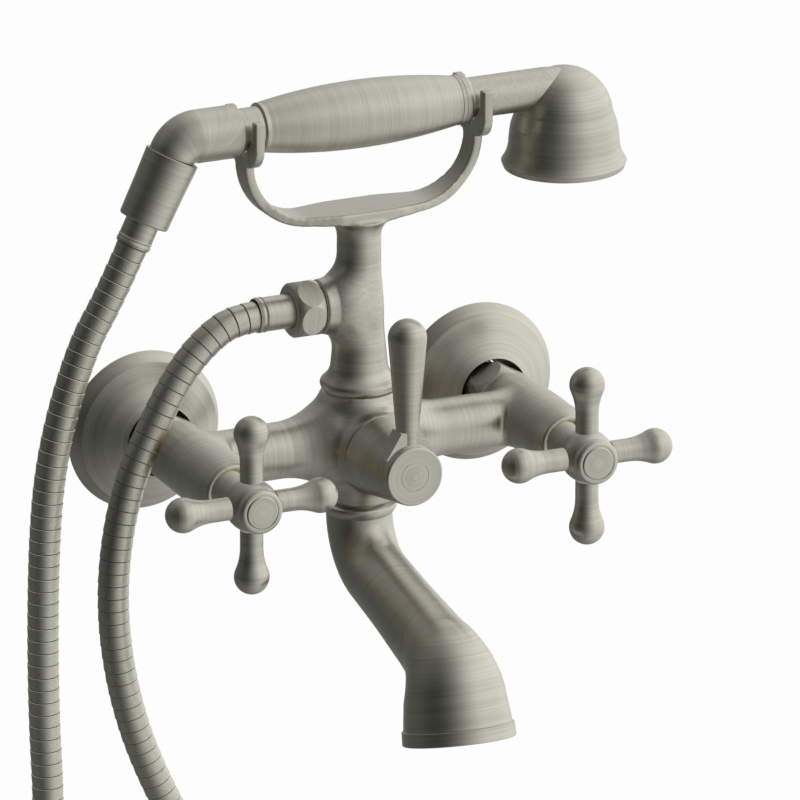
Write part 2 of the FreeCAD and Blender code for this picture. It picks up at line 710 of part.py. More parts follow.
def diverter():
    """Diverter in the front boss: a ported plug on a spindle, the bonnet that holds it, and its lever."""
    place = ((0, 0, 0), TOWARDS_USER)
    plug_back = S.plug_front - S.plug_length + 0.3
    plug_face = S.plug_front - 0.3
    plug = turned("diverter_plug", [
        (0, plug_back), (S.plug_radius, plug_back), (S.plug_radius, plug_face), (0, plug_face)], *place)
    reach = S.plug_radius + 1
    port = S.plug_port_radius
    outlet = S.plug_outlet_radius
    turn(plug, "plug_cross_port", [(-reach, 0), (reach, 0), (reach, port), (-reach, port)],
         axis="H_Axis", shift=(0, S.bar_reach, 0), cut=True)
    turn(plug, "plug_down_port", [(-reach, 0), (0, 0), (0, outlet), (-reach, outlet)],
         plane="YZ_Plane", axis="H_Axis", shift=(0, S.bar_reach, 0), cut=True)
    turned("diverter_spindle", [
        (0, plug_face), (S.stem_radius, plug_face), (S.stem_radius, S.lever_depth + 3),
        (0, S.lever_depth + 3)], *place)
    ring("diverter_seal", S.stem_radius + 0.35, S.socket_radius - 1, S.plug_front, S.plug_front + 2, *place)
    bonnet = turned("diverter_bonnet", [
        (S.stem_radius + S.fit_gap, S.plug_front + 2), (S.socket_radius - 0.08, S.plug_front + 2),
        (S.socket_radius - 0.08, S.boss_front), (S.bonnet_radius, S.boss_front),
        (S.bonnet_radius, S.bonnet_front), (S.stem_radius + S.fit_gap, S.bonnet_front),
    ], *place)
    flats = S.bonnet_radius - 1
    for label, sign in SIDES.items():
        pad(bonnet, f"bonnet_{label}_flat", [
            (sign * flats, -S.bonnet_radius), (sign * (flats + 3), -S.bonnet_radius),
            (sign * (flats + 3), S.bonnet_radius), (sign * flats, S.bonnet_radius),
        ], "XY_Plane", S.bonnet_front - S.boss_front, (0, 0, S.bonnet_front), symmetric=False, cut=True)
    lever = new_body("diverter_lever", *place)
    turn(lever, "knob", [
        (0, S.knob_back), (S.knob_back_radius, S.knob_back),
        (S.knob_face_radius + 0.3, S.knob_face - S.knob_edge),
        (S.knob_face_radius - S.knob_edge, S.knob_face, S.knob_edge), (0, S.knob_face),
    ])
    turn(lever, "lever_arm", [
        (0, 0), (S.lever_tip + S.lever_tip_radius, 0), (S.lever_tip - 0.7, S.lever_tip_radius - 0.03, 8),
        (S.lever_root, S.lever_root_radius), (0, S.lever_root_radius),
    ], plane="YZ_Plane", axis="H_Axis", shift=(0, S.lever_depth, 0))
    side = S.lever_root_radius - 0.2
    wide = S.knob_face_radius - 1
    pad(lever, "lever_web", [
        (-wide, S.knob_face_radius * 0.6), (wide, S.knob_face_radius * 0.6), (side, S.lever_root + 1),
        (-side, S.lever_root + 1),
    ], "XY_Plane", S.lever_web, (0, 0, S.lever_depth))
    turn(lever, "knob_hollow", [
        (0, S.knob_back), (S.knob_back_radius - S.knob_wall, S.knob_back),
        (S.knob_back_radius - S.knob_wall - 1.5, S.knob_hollow_depth), (0, S.knob_hollow_depth),
    ], cut=True)
    bore(lever, "lever_spindle_hole", S.stem_radius, S.knob_hollow_depth, S.lever_depth + 3)
    bore(lever, "badge_seat", S.badge_radius + 0.15, S.knob_face - S.badge_depth, S.knob_face)
    screw_plane = {"plane": "YZ_Plane", "axis": "H_Axis", "shift": (0, S.knob_hollow_depth + 5, 0)}
    screw_out = -S.knob_back_radius
    turn(lever, "lever_screw_hole", [
        (screw_out, 0), (0, 0), (0, S.screw_radius), (screw_out, S.screw_radius)], cut=True, **screw_plane)
    screw = new_body("diverter_screw", *place)
    turn(screw, "screw", [
        (-S.knob_face_radius - 1, 0), (-S.stem_radius, 0), (-S.stem_radius, S.screw_radius),
        (-S.knob_face_radius - 1, S.screw_radius)], **screw_plane)
    turned("diverter_badge", [
        (0, S.knob_face - S.badge_depth), (S.badge_radius, S.knob_face - S.badge_depth),
        (S.badge_radius, S.knob_face), (0, S.knob_face + 0.3)], *place)


def cradle_arch():
    """The band from the column's head out to both fork plates, as one closed profile in X and Z."""
    under = S.cradle_underside
    corner = S.cradle_corner_radius
    inner = corner - S.cradle_band
    flat = S.fork_reach + S.fork_plate / 2 - corner
    low = under + S.cradle_rise
    height = S.arch_centre
    right = [
        (flat, low, S.cradle_sag_radius), (flat + corner, height, corner),
        (flat + corner, height + 2), (flat + inner, height + 2), (flat + inner, height),
        (flat, height - inner, -inner),
    ]
    left = [
        (-flat, height - inner), (-flat - inner, height, -inner), (-flat - inner, height + 2),
        (-flat - corner, height + 2), (-flat - corner, height), (-flat, low, corner),
        (0, under, S.cradle_sag_radius),
    ]
    return right + left


def riser_cradle():
    """One casting: column, side port for the hose, and the arch with its two fork plates."""
    body = new_body("riser_cradle", (0, bar_line, 0))
    spigot_foot = S.core_top - S.riser_spigot + 0.4
    foot = S.riser_foot
    neck = S.riser_neck
    pad(body, "arch", cradle_arch(), "XZ_Plane", S.cradle_width)
    narrow = S.cradle_arm_width / 2
    wide = S.cradle_width / 2
    near = S.waist_start
    far = S.waist_end
    beyond = S.fork_reach + S.fork_plate
    for name, y in (("front", -1), ("rear", 1)):
        for side, sign in SIDES.items():
            pad(body, f"arch_{name}_{side}_waist", [
                (sign * near, y * wide), (sign * far, y * narrow), (sign * beyond, y * narrow),
                (sign * beyond, y * (wide + 1)), (sign * near, y * (wide + 1)),
            ], "XY_Plane", 2 * S.fork_top, cut=True)
    shelf = S.grip_height - S.seat_gap * math.sqrt(2)
    step = 1.5
    for side, sign in SIDES.items():
        neck_radius = S.stem_left_radius if side == "left" else S.stem_right_radius
        vee = shelf - neck_radius * math.sqrt(2)
        gap = S.fork_gap
        half = S.fork_half_width
        pad(body, f"{side}_fork", [
            (-narrow, S.fork_foot), (narrow, S.fork_foot), (narrow, S.fork_foot + S.fork_neck),
            (half, S.fork_shoulder, S.fork_flare_radius), (half, S.fork_top), (gap, S.fork_top),
            (gap, vee + gap), (step, vee + step), (-step, vee + step), (-gap, vee + gap), (-gap, S.fork_top),
            (-half, S.fork_top), (-half, S.fork_shoulder),
            (-narrow, S.fork_foot + S.fork_neck, S.fork_flare_radius),
        ], "YZ_Plane", S.fork_plate, (0, 0, sign * S.fork_reach))
    turn(body, "column", [
        (0, spigot_foot), (S.riser_spigot_radius, spigot_foot), (S.riser_spigot_radius, foot),
        (S.riser_flange_radius - 0.7, foot), (S.riser_flange_radius, foot + 2),
        (S.riser_flange_radius - 0.4, foot + S.riser_flange), (S.riser_root_radius, foot + 9, -9),
        (S.riser_neck_radius, neck, -S.riser_hollow_radius), (S.riser_neck_radius, S.cradle_underside - 8),
        (S.riser_neck_radius + 5, S.cradle_underside + 0.6, -9), (0, S.cradle_underside + 2),
    ])
    port_end = -S.side_port_reach
    turn(body, "side_port", [
        (port_end, 0), (0, 0), (0, S.side_port_radius), (port_end, S.side_port_radius)],
         axis="H_Axis", shift=(0, S.side_port_height, 0))
    round_edges(body, "port_fillet", S.port_fillet, sharp_meeting_at_port)
    thread_end = port_end - S.port_thread
    turn(body, "side_thread", [
        (thread_end, 0), (port_end, 0), (port_end, S.port_thread_radius),
        (thread_end, S.port_thread_radius)], axis="H_Axis", shift=(0, S.side_port_height, 0))
    bore(body, "riser_waterway", S.riser_bore, spigot_foot, S.side_port_height + S.riser_bore)
    turn(body, "side_waterway", [
        (thread_end, 0), (0, 0), (0, S.riser_bore), (thread_end, S.riser_bore)],
         axis="H_Axis", shift=(0, S.side_port_height, 0), cut=True)
    groove = spigot_foot + 3
    turn(body, "seal_groove", [
        (S.riser_spigot_radius - S.seal_depth, groove), (S.riser_spigot_radius + 1, groove),
        (S.riser_spigot_radius + 1, groove + S.seal_groove),
        (S.riser_spigot_radius - S.seal_depth, groove + S.seal_groove)], cut=True)
    seal("riser_seal", S.riser_spigot_radius, [groove + S.seal_groove / 2])
    return body


def sharp_meeting_at_port(edge):
    box = edge.BoundBox
    return sharp_meeting(edge) and box.XMax < 0 and abs(box.Center.z - S.side_port_height.value) < 12 \
        and box.ZMax < S.riser_neck.value + 6


def seal(name, spigot, heights):
    """Rubber rings of a lobed section in a spigot's grooves, round the upright axis of the mixer's core."""
    body = new_body(name, (0, bar_line, 0))
    body.AllowCompound = True
    thickness = S.seal_half
    inner = spigot - S.seal_depth + S.seal_fit
    outer = inner + 2 * thickness
    for number, height in enumerate(heights, start=1):
        turn(body, f"{name}_{number}", [
            (inner, height - thickness), (outer, height - thickness), (outer - thickness / 2, height),
            (outer, height + thickness), (inner, height + thickness)])
    return body


def hose_fittings():
    """Non-return valve, washer, captive nut and crimped ferrule on the riser's side port."""
    height = S.side_port_height
    place = ((0, bar_line, height), TOWARDS_LEFT)
    end = S.side_port_reach + S.port_thread
    valve_front = end - 2
    valve_back = valve_front - S.check_valve_length
    ring("check_valve", S.check_valve_bore, S.riser_bore - S.fit_gap, valve_back, valve_front, *place)
    washer_front = end + S.hose_washer_thickness
    ring("hose_washer", S.hose_bore_radius, S.port_thread_radius - 0.6, end, washer_front, *place)
    nut = new_body("hose_nut", *place)
    back = S.side_port_reach + 0.2
    front = back + S.hose_nut_length
    pad(nut, "hose_nut_hexagon", hexagon(S.hose_nut_flats, 30), "XY_Plane", S.hose_nut_length,
        (0, 0, back), symmetric=False)
    corner = S.hose_nut_flats / math.sqrt(3) + 1
    flat = S.hose_nut_flats / 2
    for name, at, inward in (("rear", back, 1), ("front", front, -1)):
        turn(nut, f"hose_nut_{name}_chamfer", [
            (flat, at), (corner, at), (corner, at + inward * 1.4)], cut=True)
    bore(nut, "hose_nut_thread", S.port_thread_radius + 0.1, back, front - 3)
    bore(nut, "hose_nut_lip", S.ferrule_radius + 0.1, back, front)
    bore(nut, "hose_nut_recess", S.ferrule_radius + 1.2, front - 1, front)
    flange = end + S.hose_washer_thickness
    flange_front = flange + S.ferrule_flange
    flange_radius = S.port_thread_radius - 0.2
    sleeve_bore = S.hose_radius + S.fit_gap
    turned("hose_ferrule", [
        (S.hose_bore_radius, flange), (flange_radius, flange), (flange_radius, flange_front),
        (S.ferrule_radius, flange_front), *ferrule_rings(S.ferrule_reach), (sleeve_bore, S.ferrule_reach),
        (sleeve_bore, S.hose_start), (S.hose_bore_radius, S.hose_start),
    ], *place)


def ferrule_rings(end):
    """The two low rings rolled into a ferrule's end, as steps of its outline."""
    return [
        (S.ferrule_radius, end - 3.4), (S.ferrule_ring_radius, end - 3), (S.ferrule_radius, end - 2.4),
        (S.ferrule_ring_radius, end - 1.2), (S.ferrule_radius, end),
    ]


# The hose hangs freely in one loop in the crossbar's plane: its route's corners, as chosen, between
# the straight leads at its two ends
HOSE_CORNERS = [
    (-65.7, 53.2), (-78.7, 40.7), (-90.4, 20.9), (-104.9, -9.3), (-111.4, -50.2),
    (-106.0, -90.8), (-92.9, -129.6), (-66.7, -178.5), (-45.2, -235.1), (-18.7, -300.2), (-6.5, -365.0),
    (-14.1, -416.7), (-50.8, -452.3), (-101.2, -452.3), (-138.0, -416.7), (-149.2, -349.9),
    (-149.7, -280.0), (-145.9, -215.1), (-138.3, -150.5), (-141.9, -90.8), (-141.2, -20.9),
    (-136.1, 17.5), (-123.2, 56.6),
]


def sleeve_direction():
    lean = math.radians(S.sleeve_lean.value)
    return Vector(-math.sin(lean), 0, -math.cos(lean))


def sleeve_top():
    """Where the hand shower's lower sleeve starts, at the end of the elbow's bend."""
    lean = math.radians(90 - S.sleeve_lean.value)
    leg = S.elbow_bend.value * math.tan(lean / 2)
    corner = Vector(S.elbow_corner.value, -S.bar_reach.value, S.grip_height.value)
    return corner + sleeve_direction() * leg


def hose_route():
    """Straight runs and the tangent arcs between them, from the ferrule to the hand shower."""
    y = -S.bar_reach.value
    first = Vector(-S.hose_start.value, y, S.side_port_height.value)
    reach = S.sleeve_length.value + S.upper_ferrule_length.value + S.hose_end_gap.value
    last = sleeve_top() + sleeve_direction() * reach
    lead_out = first - Vector(S.hose_lead_out.value, 0, 0)
    lead_in = last + sleeve_direction() * S.hose_lead_in.value
    corners = [first, lead_out] + [Vector(x, y, z) for x, z in HOSE_CORNERS] + [lead_in, last]
    parts = []
    radii = []
    here = first
    for before, corner, after in zip(corners, corners[1:], corners[2:]):
        into = corner - before
        out = after - corner
        setback = 0.45 * min(into.Length, out.Length)
        turn_angle = into.getAngle(out)
        radius = setback / math.tan(turn_angle / 2)
        into.normalize()
        out.normalize()
        start = corner - into * setback
        finish = corner + out * setback
        towards = (out - into).normalize()
        centre = corner + towards * math.hypot(setback, radius)
        middle = centre - towards * radius
        parts.append(("run", here, start))
        parts.append(("arc", start, middle, finish, centre))
        radii.append(radius)
        here = finish
    parts.append(("run", here, last))
    print("hose arc radii, mm:", [round(radius, 1) for radius in radii])
    return parts


def edges_of(parts):
    edges = []
    for part in parts:
        if part[0] == "run":
            edges.append(Part.LineSegment(part[1], part[2]).toShape())
        else:
            edges.append(Part.Arc(part[1], part[2], part[3]).toShape())
    return edges


def hose():
    """A ribbed metal hose with its bore: each rib is a ruled loft through four circles."""
    parts = hose_route()
    edges = edges_of(parts)
    lengths = [edge.Length for edge in edges]
    total = sum(lengths)

    def at(distance):
        for number, (edge, length) in enumerate(zip(edges, lengths)):
            if distance <= length or number == len(edges) - 1:
                u = edge.getParameterByLength(min(distance, length))
                return edge.valueAt(u), edge.tangentAt(u).normalize()
            distance -= length

    count = int(S.hose_ribs.value)
    hidden = S.ferrule_reach.value - S.hose_start.value + 1.0
    pitch = (total - hidden - 1.0) / count
    crest = S.hose_radius.value
    valley = S.hose_groove_radius.value
    stations = [(0.0, crest), (hidden, crest)]
    for number in range(count):
        start = hidden + number * pitch
        for share, radius in ((0.1, valley), (0.25, valley), (0.35, crest), (1.0, crest)):
            stations.append((start + share * pitch, radius))
    stations.append((total, crest))
    wires = []
    for distance, radius in stations:
        point, tangent = at(distance)
        across = Vector(0, 1, 0)
        frame = Rotation(across, tangent.cross(across) * -1, tangent, "ZXY")
        circle = Part.makeCircle(radius)
        circle.Placement = Placement(point, frame)
        wires.append(Part.Wire(circle))
    skin = Part.makeLoft(wires, True, True)
    bore_wire = Part.Wire(edges)
    start_point, start_tangent = at(0.0)
    mouth = Part.Wire(Part.makeCircle(S.hose_bore_radius.value, start_point, start_tangent))
    channel = bore_wire.makePipeShell([mouth], True, True)
    tube = skin.cut(channel)
    print("hose length, mm:", round(total, 1), "ribs:", count, "pitch:", round(pitch, 2))
    least = 1e9
    points = [at(total * n / 600)[0] for n in range(601)]
    apart = int(60 / (total / 600)) + 1
    for n in range(0, 601, 2):
        for other in range(n + apart, 601, 2):
            least = min(least, points[n].distanceToPoint(points[other]))
    print("hose least gap to itself, mm:", round(least - 2 * crest, 1))
    return custom("hose", tube)


def spout():
    """Spout: a lofted tube of two opposite bends, with its swivel spigot and flared mouth."""
    def centreline():
        turn_up = math.radians(S.spout_upper_turn.value)
        turn_down = turn_up - math.radians(S.spout_mouth_tilt.value)
        upper = S.spout_upper_bend.value
        lower = S.spout_lower_bend.value
        stations = []
        y0 = -S.bar_reach.value
        z0 = S.spout_start.value
        for n in range(6):
            angle = turn_up * n / 5
            stations.append((y0 - upper * (1 - math.cos(angle)), z0 - upper * math.sin(angle), angle,
                             S.spout_start_radius.value + (S.spout_run_start_radius.value
                             - S.spout_start_radius.value) * n / 5))
        y1, z1 = stations[-1][0], stations[-1][1]
        run = S.spout_run.value
        for n in range(1, 4):
            share = n / 3
            stations.append((y1 - run * share * math.sin(turn_up), z1 - run * share * math.cos(turn_up),
                             turn_up, S.spout_run_start_radius.value + (S.spout_run_end_radius.value
                             - S.spout_run_start_radius.value) * share))
        y2, z2 = stations[-1][0], stations[-1][1]
        centre_y = y2 + lower * math.cos(turn_up)
        centre_z = z2 - lower * math.sin(turn_up)
        for n in range(1, 6):
            angle = turn_up - turn_down * n / 5
            stations.append((centre_y - lower * math.cos(angle), centre_z + lower * math.sin(angle), angle,
                             S.spout_run_end_radius.value + (S.spout_mouth_radius.value
                             - S.spout_run_end_radius.value) * n / 5))
        y3, z3, angle, radius = stations[-1]
        tail = S.spout_tail.value
        stations.append((y3 - tail * math.sin(angle), z3 - tail * math.cos(angle), angle,
                         S.spout_band_radius.value - 0.8))
        return stations

    def lofted(stations, shrink):
        wires = []
        for y, z, angle, radius in stations:
            direction = Vector(0, -math.sin(angle), -math.cos(angle))
            frame = Rotation(Vector(1, 0, 0), Vector(), direction, "ZXY")
            circle = Part.makeCircle(radius - shrink)
            circle.Placement = Placement(Vector(0, y, z), frame)
            wires.append(Part.Wire(circle))
        return Part.makeLoft(wires, True, False)

    stations = centreline()
    y, z, angle, radius = stations[-1]
    direction = Vector(0, -math.sin(angle), -math.cos(angle))
    here = Vector(0, y, z)
    tube = lofted(stations, 0.0).cut(lofted(stations, S.spout_wall.value))
    band = S.spout_band.value
    rim = Part.makeCylinder(S.spout_band_radius.value, band, here, direction)
    rim = rim.makeFillet(0.8, [edge for edge in rim.Edges if edge.isClosed()])
    rim = rim.cut(Part.makeCylinder(S.aerator_seat_radius.value, band, here, direction))
    shape = tube.fuse([rim, spout_spigot()])
    print("spout mouth at", [round(v, 1) for v in (here + direction * band)])
    return custom("spout", shape), here + direction * band


def spout_spigot():
    """The spout's round top: a collar under the mixer's core and a grooved spigot that turns in it."""
    start = S.spout_start.value
    top = S.spout_top.value
    neck = S.spout_spigot_radius.value
    hollow = neck - 3.4
    profile = [
        (hollow, start), (S.spout_start_radius.value, start),
        (S.spout_collar_radius.value, top - S.spout_collar.value * 0.62),
        (S.spout_collar_radius.value, top - S.spout_collar.value * 0.3),
        (S.spout_collar_radius.value - 0.9, top), (neck, top),
    ]
    ring_low = S.retainer_height.value
    grooves = [(ring_low, ring_low + S.retainer_thickness.value, S.retainer_depth.value)]
    half = S.seal_groove.value / 2
    for height in reversed(spout_seal_heights()):
        grooves.append((height.value - half, height.value + half, S.seal_depth.value))
    for low, high, deep in grooves:
        profile += [(neck, low), (neck - deep, low), (neck - deep, high), (neck, high)]
    end = (S.core_foot + S.spout_socket_depth - 0.4).value
    profile += [(neck, end), (hollow, end), (hollow, start)]
    y = -S.bar_reach.value
    face = Part.Face(Part.makePolygon([Vector(radius, y, height) for radius, height in profile]))
    return face.revolve(Vector(0, y, 0), Vector(0, 0, 1), 360)


def spout_seal_heights():
    top = S.core_foot + S.spout_socket_depth
    return [top - 2.2, top - 5.4]


def aerator(outlet):
    """Flow straightener in the spout's mouth: a threaded holder and its screen."""
    tilt = -S.spout_mouth_tilt.value
    facing = (Vector(1, 0, 0), tilt)
    low = S.aerator_recess
    flange = low + S.aerator_flange
    turned("aerator_housing", [
        (S.aerator_radius, low), (S.aerator_seat_radius - S.fit_gap, low),
        (S.aerator_seat_radius - S.fit_gap, flange), (S.aerator_radius + 2, flange),
        (S.aerator_radius + 2, flange + S.aerator_length), (S.aerator_radius, flange + S.aerator_length),
    ], outlet, facing)
    turned("aerator_screen", [
        (0, low + 1), (S.aerator_radius - S.fit_gap, low + 1), (S.aerator_radius - S.fit_gap, flange),
        (0, flange)], outlet, facing)


def hand_shower():
    """Hand shower: stem, grip, its rings, elbow, lower sleeve with ferrule, and the head with its face."""
    height = S.grip_height
    place = ((0, bar_line, height), TOWARDS_RIGHT)
    neck = S.elbow_right
    tail = neck - S.stem_tail
    tip = S.grip_right + S.stem_overhang
    tube = S.stem_bore + S.stem_wall
    over_tube = tube + 0.02
    ring_left = S.grip_left - S.ring_length
    turned("handset_stem", [
        (S.stem_bore, tail), (tube, tail), (tube, neck), (S.stem_left_radius, neck),
        (S.stem_left_radius, ring_left), (tube, ring_left), (tube, tip), (S.stem_bore, tip),
    ], *place)
    turned("grip_ring", [
        (over_tube, ring_left), (S.ring_radius - 0.8, ring_left), (S.ring_radius, ring_left + 0.6),
        (S.ring_radius, S.grip_left), (over_tube, S.grip_left),
    ], *place)
    turned("grip", [
        (over_tube, S.grip_left), (S.grip_left_radius, S.grip_left),
        (S.grip_radius, S.grip_middle, S.grip_swell_radius),
        (S.grip_right_radius, S.grip_right, S.grip_swell_radius), (over_tube, S.grip_right),
    ], *place)
    collar = S.grip_right
    turned("grip_collar", [
        (over_tube, collar), (S.ring_radius, collar + 0.2), (S.ring_radius, collar + 1.7),
        (S.ring_radius - 0.7, collar + 1.7), (S.ring_radius - 0.7, collar + 2.1),
        (S.ring_radius - 0.3, collar + 2.1), (S.ring_radius - 0.3, collar + 4),
        (S.ring_radius - 1.3, collar + S.collar_length, 2.2), (over_tube, collar + S.collar_length),
    ], *place)
    elbow()
    sleeve()
    shower_head()


def elbow():
    """Elbow casting at the handle's left end, hollow, bent down and to the left."""
    y = -S.bar_reach.value
    z = S.grip_height.value
    bend = S.elbow_bend.value
    sweep = math.radians(90 - S.sleeve_lean.value)
    leg = bend * math.tan(sweep / 2)
    right = S.elbow_right.value
    start_x = S.elbow_corner.value + leg
    wide = S.elbow_radius.value
    slim = S.sleeve_radius.value

    def section(angle, radius):
        centre = Vector(start_x - bend * math.sin(angle), y, z - bend * (1 - math.cos(angle)))
        direction = Vector(-math.cos(angle), 0, -math.sin(angle))
        circle = Part.makeCircle(radius)
        circle.Placement = Placement(centre, Rotation(Vector(0, 1, 0), Vector(), direction, "ZXY"))
        return Part.Wire(circle)

    count = 5
    bent = Part.makeLoft([section(sweep * n / count, wide + (slim - wide) * n / count)
                          for n in range(count + 1)], True, False)
    straight = Part.makeCylinder(wide, right - start_x, Vector(start_x, y, z), Vector(1, 0, 0))
    rim = [edge for edge in straight.Edges
           if type(edge.Curve).__name__ == "Circle" and edge.BoundBox.Center.x > right - 1]
    straight = straight.makeChamfer(0.6, rim)
    radius = S.stem_bore.value
    hole = Part.makeLoft([section(sweep * n / count, radius) for n in range(count + 1)], True, False)
    hole = hole.fuse(Part.makeCylinder(radius, right - start_x, Vector(start_x, y, z), Vector(1, 0, 0)))
    socket = S.stem_tail.value
    tube = radius + S.stem_wall.value + 0.02
    hole = hole.fuse(Part.makeCylinder(tube, socket, Vector(right - socket, y, z), Vector(1, 0, 0)))
    custom("handset_elbow", straight.fuse(bent).cut(hole))


def sleeve():
    """Lower sleeve of the hand shower, and the hose's upper ferrule inside it."""
    top = sleeve_top()
    facing = (Vector(0, 1, 0), S.sleeve_lean.value - 180)
    length = S.sleeve_length
    bore_radius = S.ferrule_radius + 0.15
    outline = [
        (S.stem_bore, 0.1), (S.sleeve_radius, 0.1), (S.sleeve_radius, length - 0.5),
        (S.sleeve_radius - 0.5, length), (bore_radius, length), (bore_radius, S.sleeve_shelf),
        (S.stem_bore, S.sleeve_shelf),
    ]
    ferrule_end = length + S.upper_ferrule_length
    ferrule = [
        (S.hose_bore_radius, S.sleeve_shelf + 2), (S.ferrule_radius, S.sleeve_shelf + 2),
        *ferrule_rings(ferrule_end), (S.hose_bore_radius, ferrule_end),
    ]
    turned("handset_sleeve", outline, top, facing)
    turned("handset_ferrule", ferrule, top, facing)


def shower_head():
    """Domed bell on the hand shower's right end, one casting with its neck, and the spray face in it."""
    body = new_body("shower_head", (S.head_reach, bar_line, 0))
    wall = S.head_wall
    tube = S.stem_bore + S.stem_wall + 0.02
    dome = S.head_dome_radius
    inside = S.head_rim + 12.7
    collar_front = S.grip_right + S.collar_length - S.head_reach
    socket_end = S.grip_right + S.stem_overhang + 0.2 - S.head_reach
    turn(body, "neck", [
        (collar_front + 0.2, 0), (0, 0), (0, S.stem_right_radius - 1.2),
        (-10, S.stem_right_radius, 45), (collar_front + 0.2, S.stem_right_radius),
    ], axis="H_Axis", shift=(0, S.grip_height, 0))
    turn(body, "bell", [
        (0, inside), (S.head_skirt_radius - wall, inside), (S.head_skirt_radius - wall, S.head_rim + 2),
        (S.face_radius + S.fit_gap, S.head_rim), (S.face_radius + S.fit_gap, S.head_foot),
        (S.head_rim_radius - 0.9, S.head_foot), (S.head_rim_radius, S.head_rim),
        (S.head_skirt_radius, S.head_rim + 7.7, -16), (S.head_wall_radius, S.head_rim + 15.7, 60),
        (dome - 0.1, S.head_top - 18), (0, S.head_top, dome),
    ])
    turn(body, "bell_hollow", [
        (0, inside - 1), (S.head_skirt_radius - wall, inside - 1), (dome - wall, S.head_top - 19),
        (0, S.head_top - wall - 0.5, dome - wall + 0.5),
    ], cut=True)
    turn(body, "neck_socket", [
        (collar_front, 0), (socket_end, 0), (socket_end, tube), (collar_front, tube),
    ], axis="H_Axis", shift=(0, S.grip_height, 0), cut=True)
    turn(body, "neck_waterway", [
        (collar_front, 0), (-8, 0), (-8, S.stem_bore), (collar_front, S.stem_bore),
    ], axis="H_Axis", shift=(0, S.grip_height, 0), cut=True)
    turned("spray_face", [
        (0, S.head_rim - S.face_thickness + 0.4), (S.face_radius, S.head_rim - S.face_thickness + 0.4),
        (S.face_radius, S.head_rim - 0.1), (0, S.head_rim - 0.1),
    ], (S.head_reach, bar_line, 0))


for side, sign in SIDES.items():
    x = sign * half_centres
    wall_cover(side, x)
    wall_union(side, x)
    union_nut(side, x)
    union_washer(side, x)
    valve(side, x)
    handle(side, x)
mixer_body()
diverter()
riser_cradle()
hose_fittings()
hose()
outlet = spout()[1]
seal("spout_seals", S.spout_spigot_radius, spout_seal_heights())
retainer_bore = S.spout_spigot_radius - S.retainer_depth + S.fit_gap
retainer_low = S.retainer_height + S.seal_fit
retainer_high = S.retainer_height + S.retainer_thickness - S.seal_fit
ring("spout_retainer", retainer_bore, S.retainer_radius - S.seal_fit, retainer_low, retainer_high,
     (0, bar_line, 0))
aerator(outlet)
hand_shower()
doc.recompute()

faults = 0
for piece in doc.Objects:
    if {"Invalid", "Error"} & set(piece.State):
        print("FAULT", piece.Name, piece.State)
        faults += 1
for piece in doc.Objects:
    if piece.TypeId in ("Part::Feature", "PartDesign::Body"):
        shape = piece.Shape
        box = shape.BoundBox
        print(piece.Label, shape.isValid(), round(shape.Volume), len(shape.Solids),
              [round(v, 1) for v in (box.XMin, box.XMax, box.YMin, box.YMax, box.ZMin, box.ZMax)])
        shape.exportStep(f"parts/{piece.Label}.step")
print("faults", faults)
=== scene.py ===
# %% [markdown]
# # A brushed tub filler, dressed for its studio picture
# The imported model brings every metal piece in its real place. This script adds the camera,
# the ribbed hose, the cast and turned forms that need more care, the finishes and the light.

import math

import bmesh
import bpy
import numpy as np
from mathutils import Matrix, Vector


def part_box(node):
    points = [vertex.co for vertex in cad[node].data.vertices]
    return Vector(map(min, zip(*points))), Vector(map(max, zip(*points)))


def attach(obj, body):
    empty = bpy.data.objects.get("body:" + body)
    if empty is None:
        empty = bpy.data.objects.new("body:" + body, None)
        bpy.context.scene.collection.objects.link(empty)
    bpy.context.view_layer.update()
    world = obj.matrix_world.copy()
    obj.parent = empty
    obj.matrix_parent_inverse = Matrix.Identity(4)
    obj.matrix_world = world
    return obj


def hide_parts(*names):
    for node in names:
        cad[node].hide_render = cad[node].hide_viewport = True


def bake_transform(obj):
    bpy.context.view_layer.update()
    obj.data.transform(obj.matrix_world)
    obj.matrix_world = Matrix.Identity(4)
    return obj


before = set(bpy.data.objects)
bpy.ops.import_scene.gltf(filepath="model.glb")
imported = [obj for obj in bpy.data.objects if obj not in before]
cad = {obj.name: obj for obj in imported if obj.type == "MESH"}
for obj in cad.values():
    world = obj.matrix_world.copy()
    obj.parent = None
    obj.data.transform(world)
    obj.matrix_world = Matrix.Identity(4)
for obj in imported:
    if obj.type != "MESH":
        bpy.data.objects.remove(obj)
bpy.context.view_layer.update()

# %% [markdown]
# ## Camera
# Catalogue pictures are taken from far away with a long lens, so that parallel edges stay nearly
# parallel. The camera stands to the left of the filler and looks slightly down at its front.

# %% Camera
LOOK_AT = Vector((0.0337, -0.0149, 0.0019))
LOOK_ALONG = Vector((0.398, 0.8614, -0.3157)).normalized()
FRAME_WIDTH = 0.3280
LENS = 1000.0
SENSOR = 36.0

camera_data = bpy.data.cameras.new("camera")
camera_data.lens = LENS
camera_data.sensor_width = SENSOR
camera_data.clip_end = 50.0
camera = bpy.data.objects.new("camera", camera_data)
camera.location = LOOK_AT - LOOK_ALONG * (FRAME_WIDTH * LENS / SENSOR)
camera.rotation_euler = LOOK_ALONG.to_track_quat("-Z", "Y").to_euler()
bpy.context.scene.collection.objects.link(camera)
bpy.context.scene.camera = camera
print("camera stands", round((camera.location - LOOK_AT).length, 2), "m away")

# %% [markdown]
# ## Route of the hose
# The hose leaves the side port, hangs in one loop below the picture and climbs back up to the
# hand shower. Its route is a smooth spline over a few control points, here in millimetres.

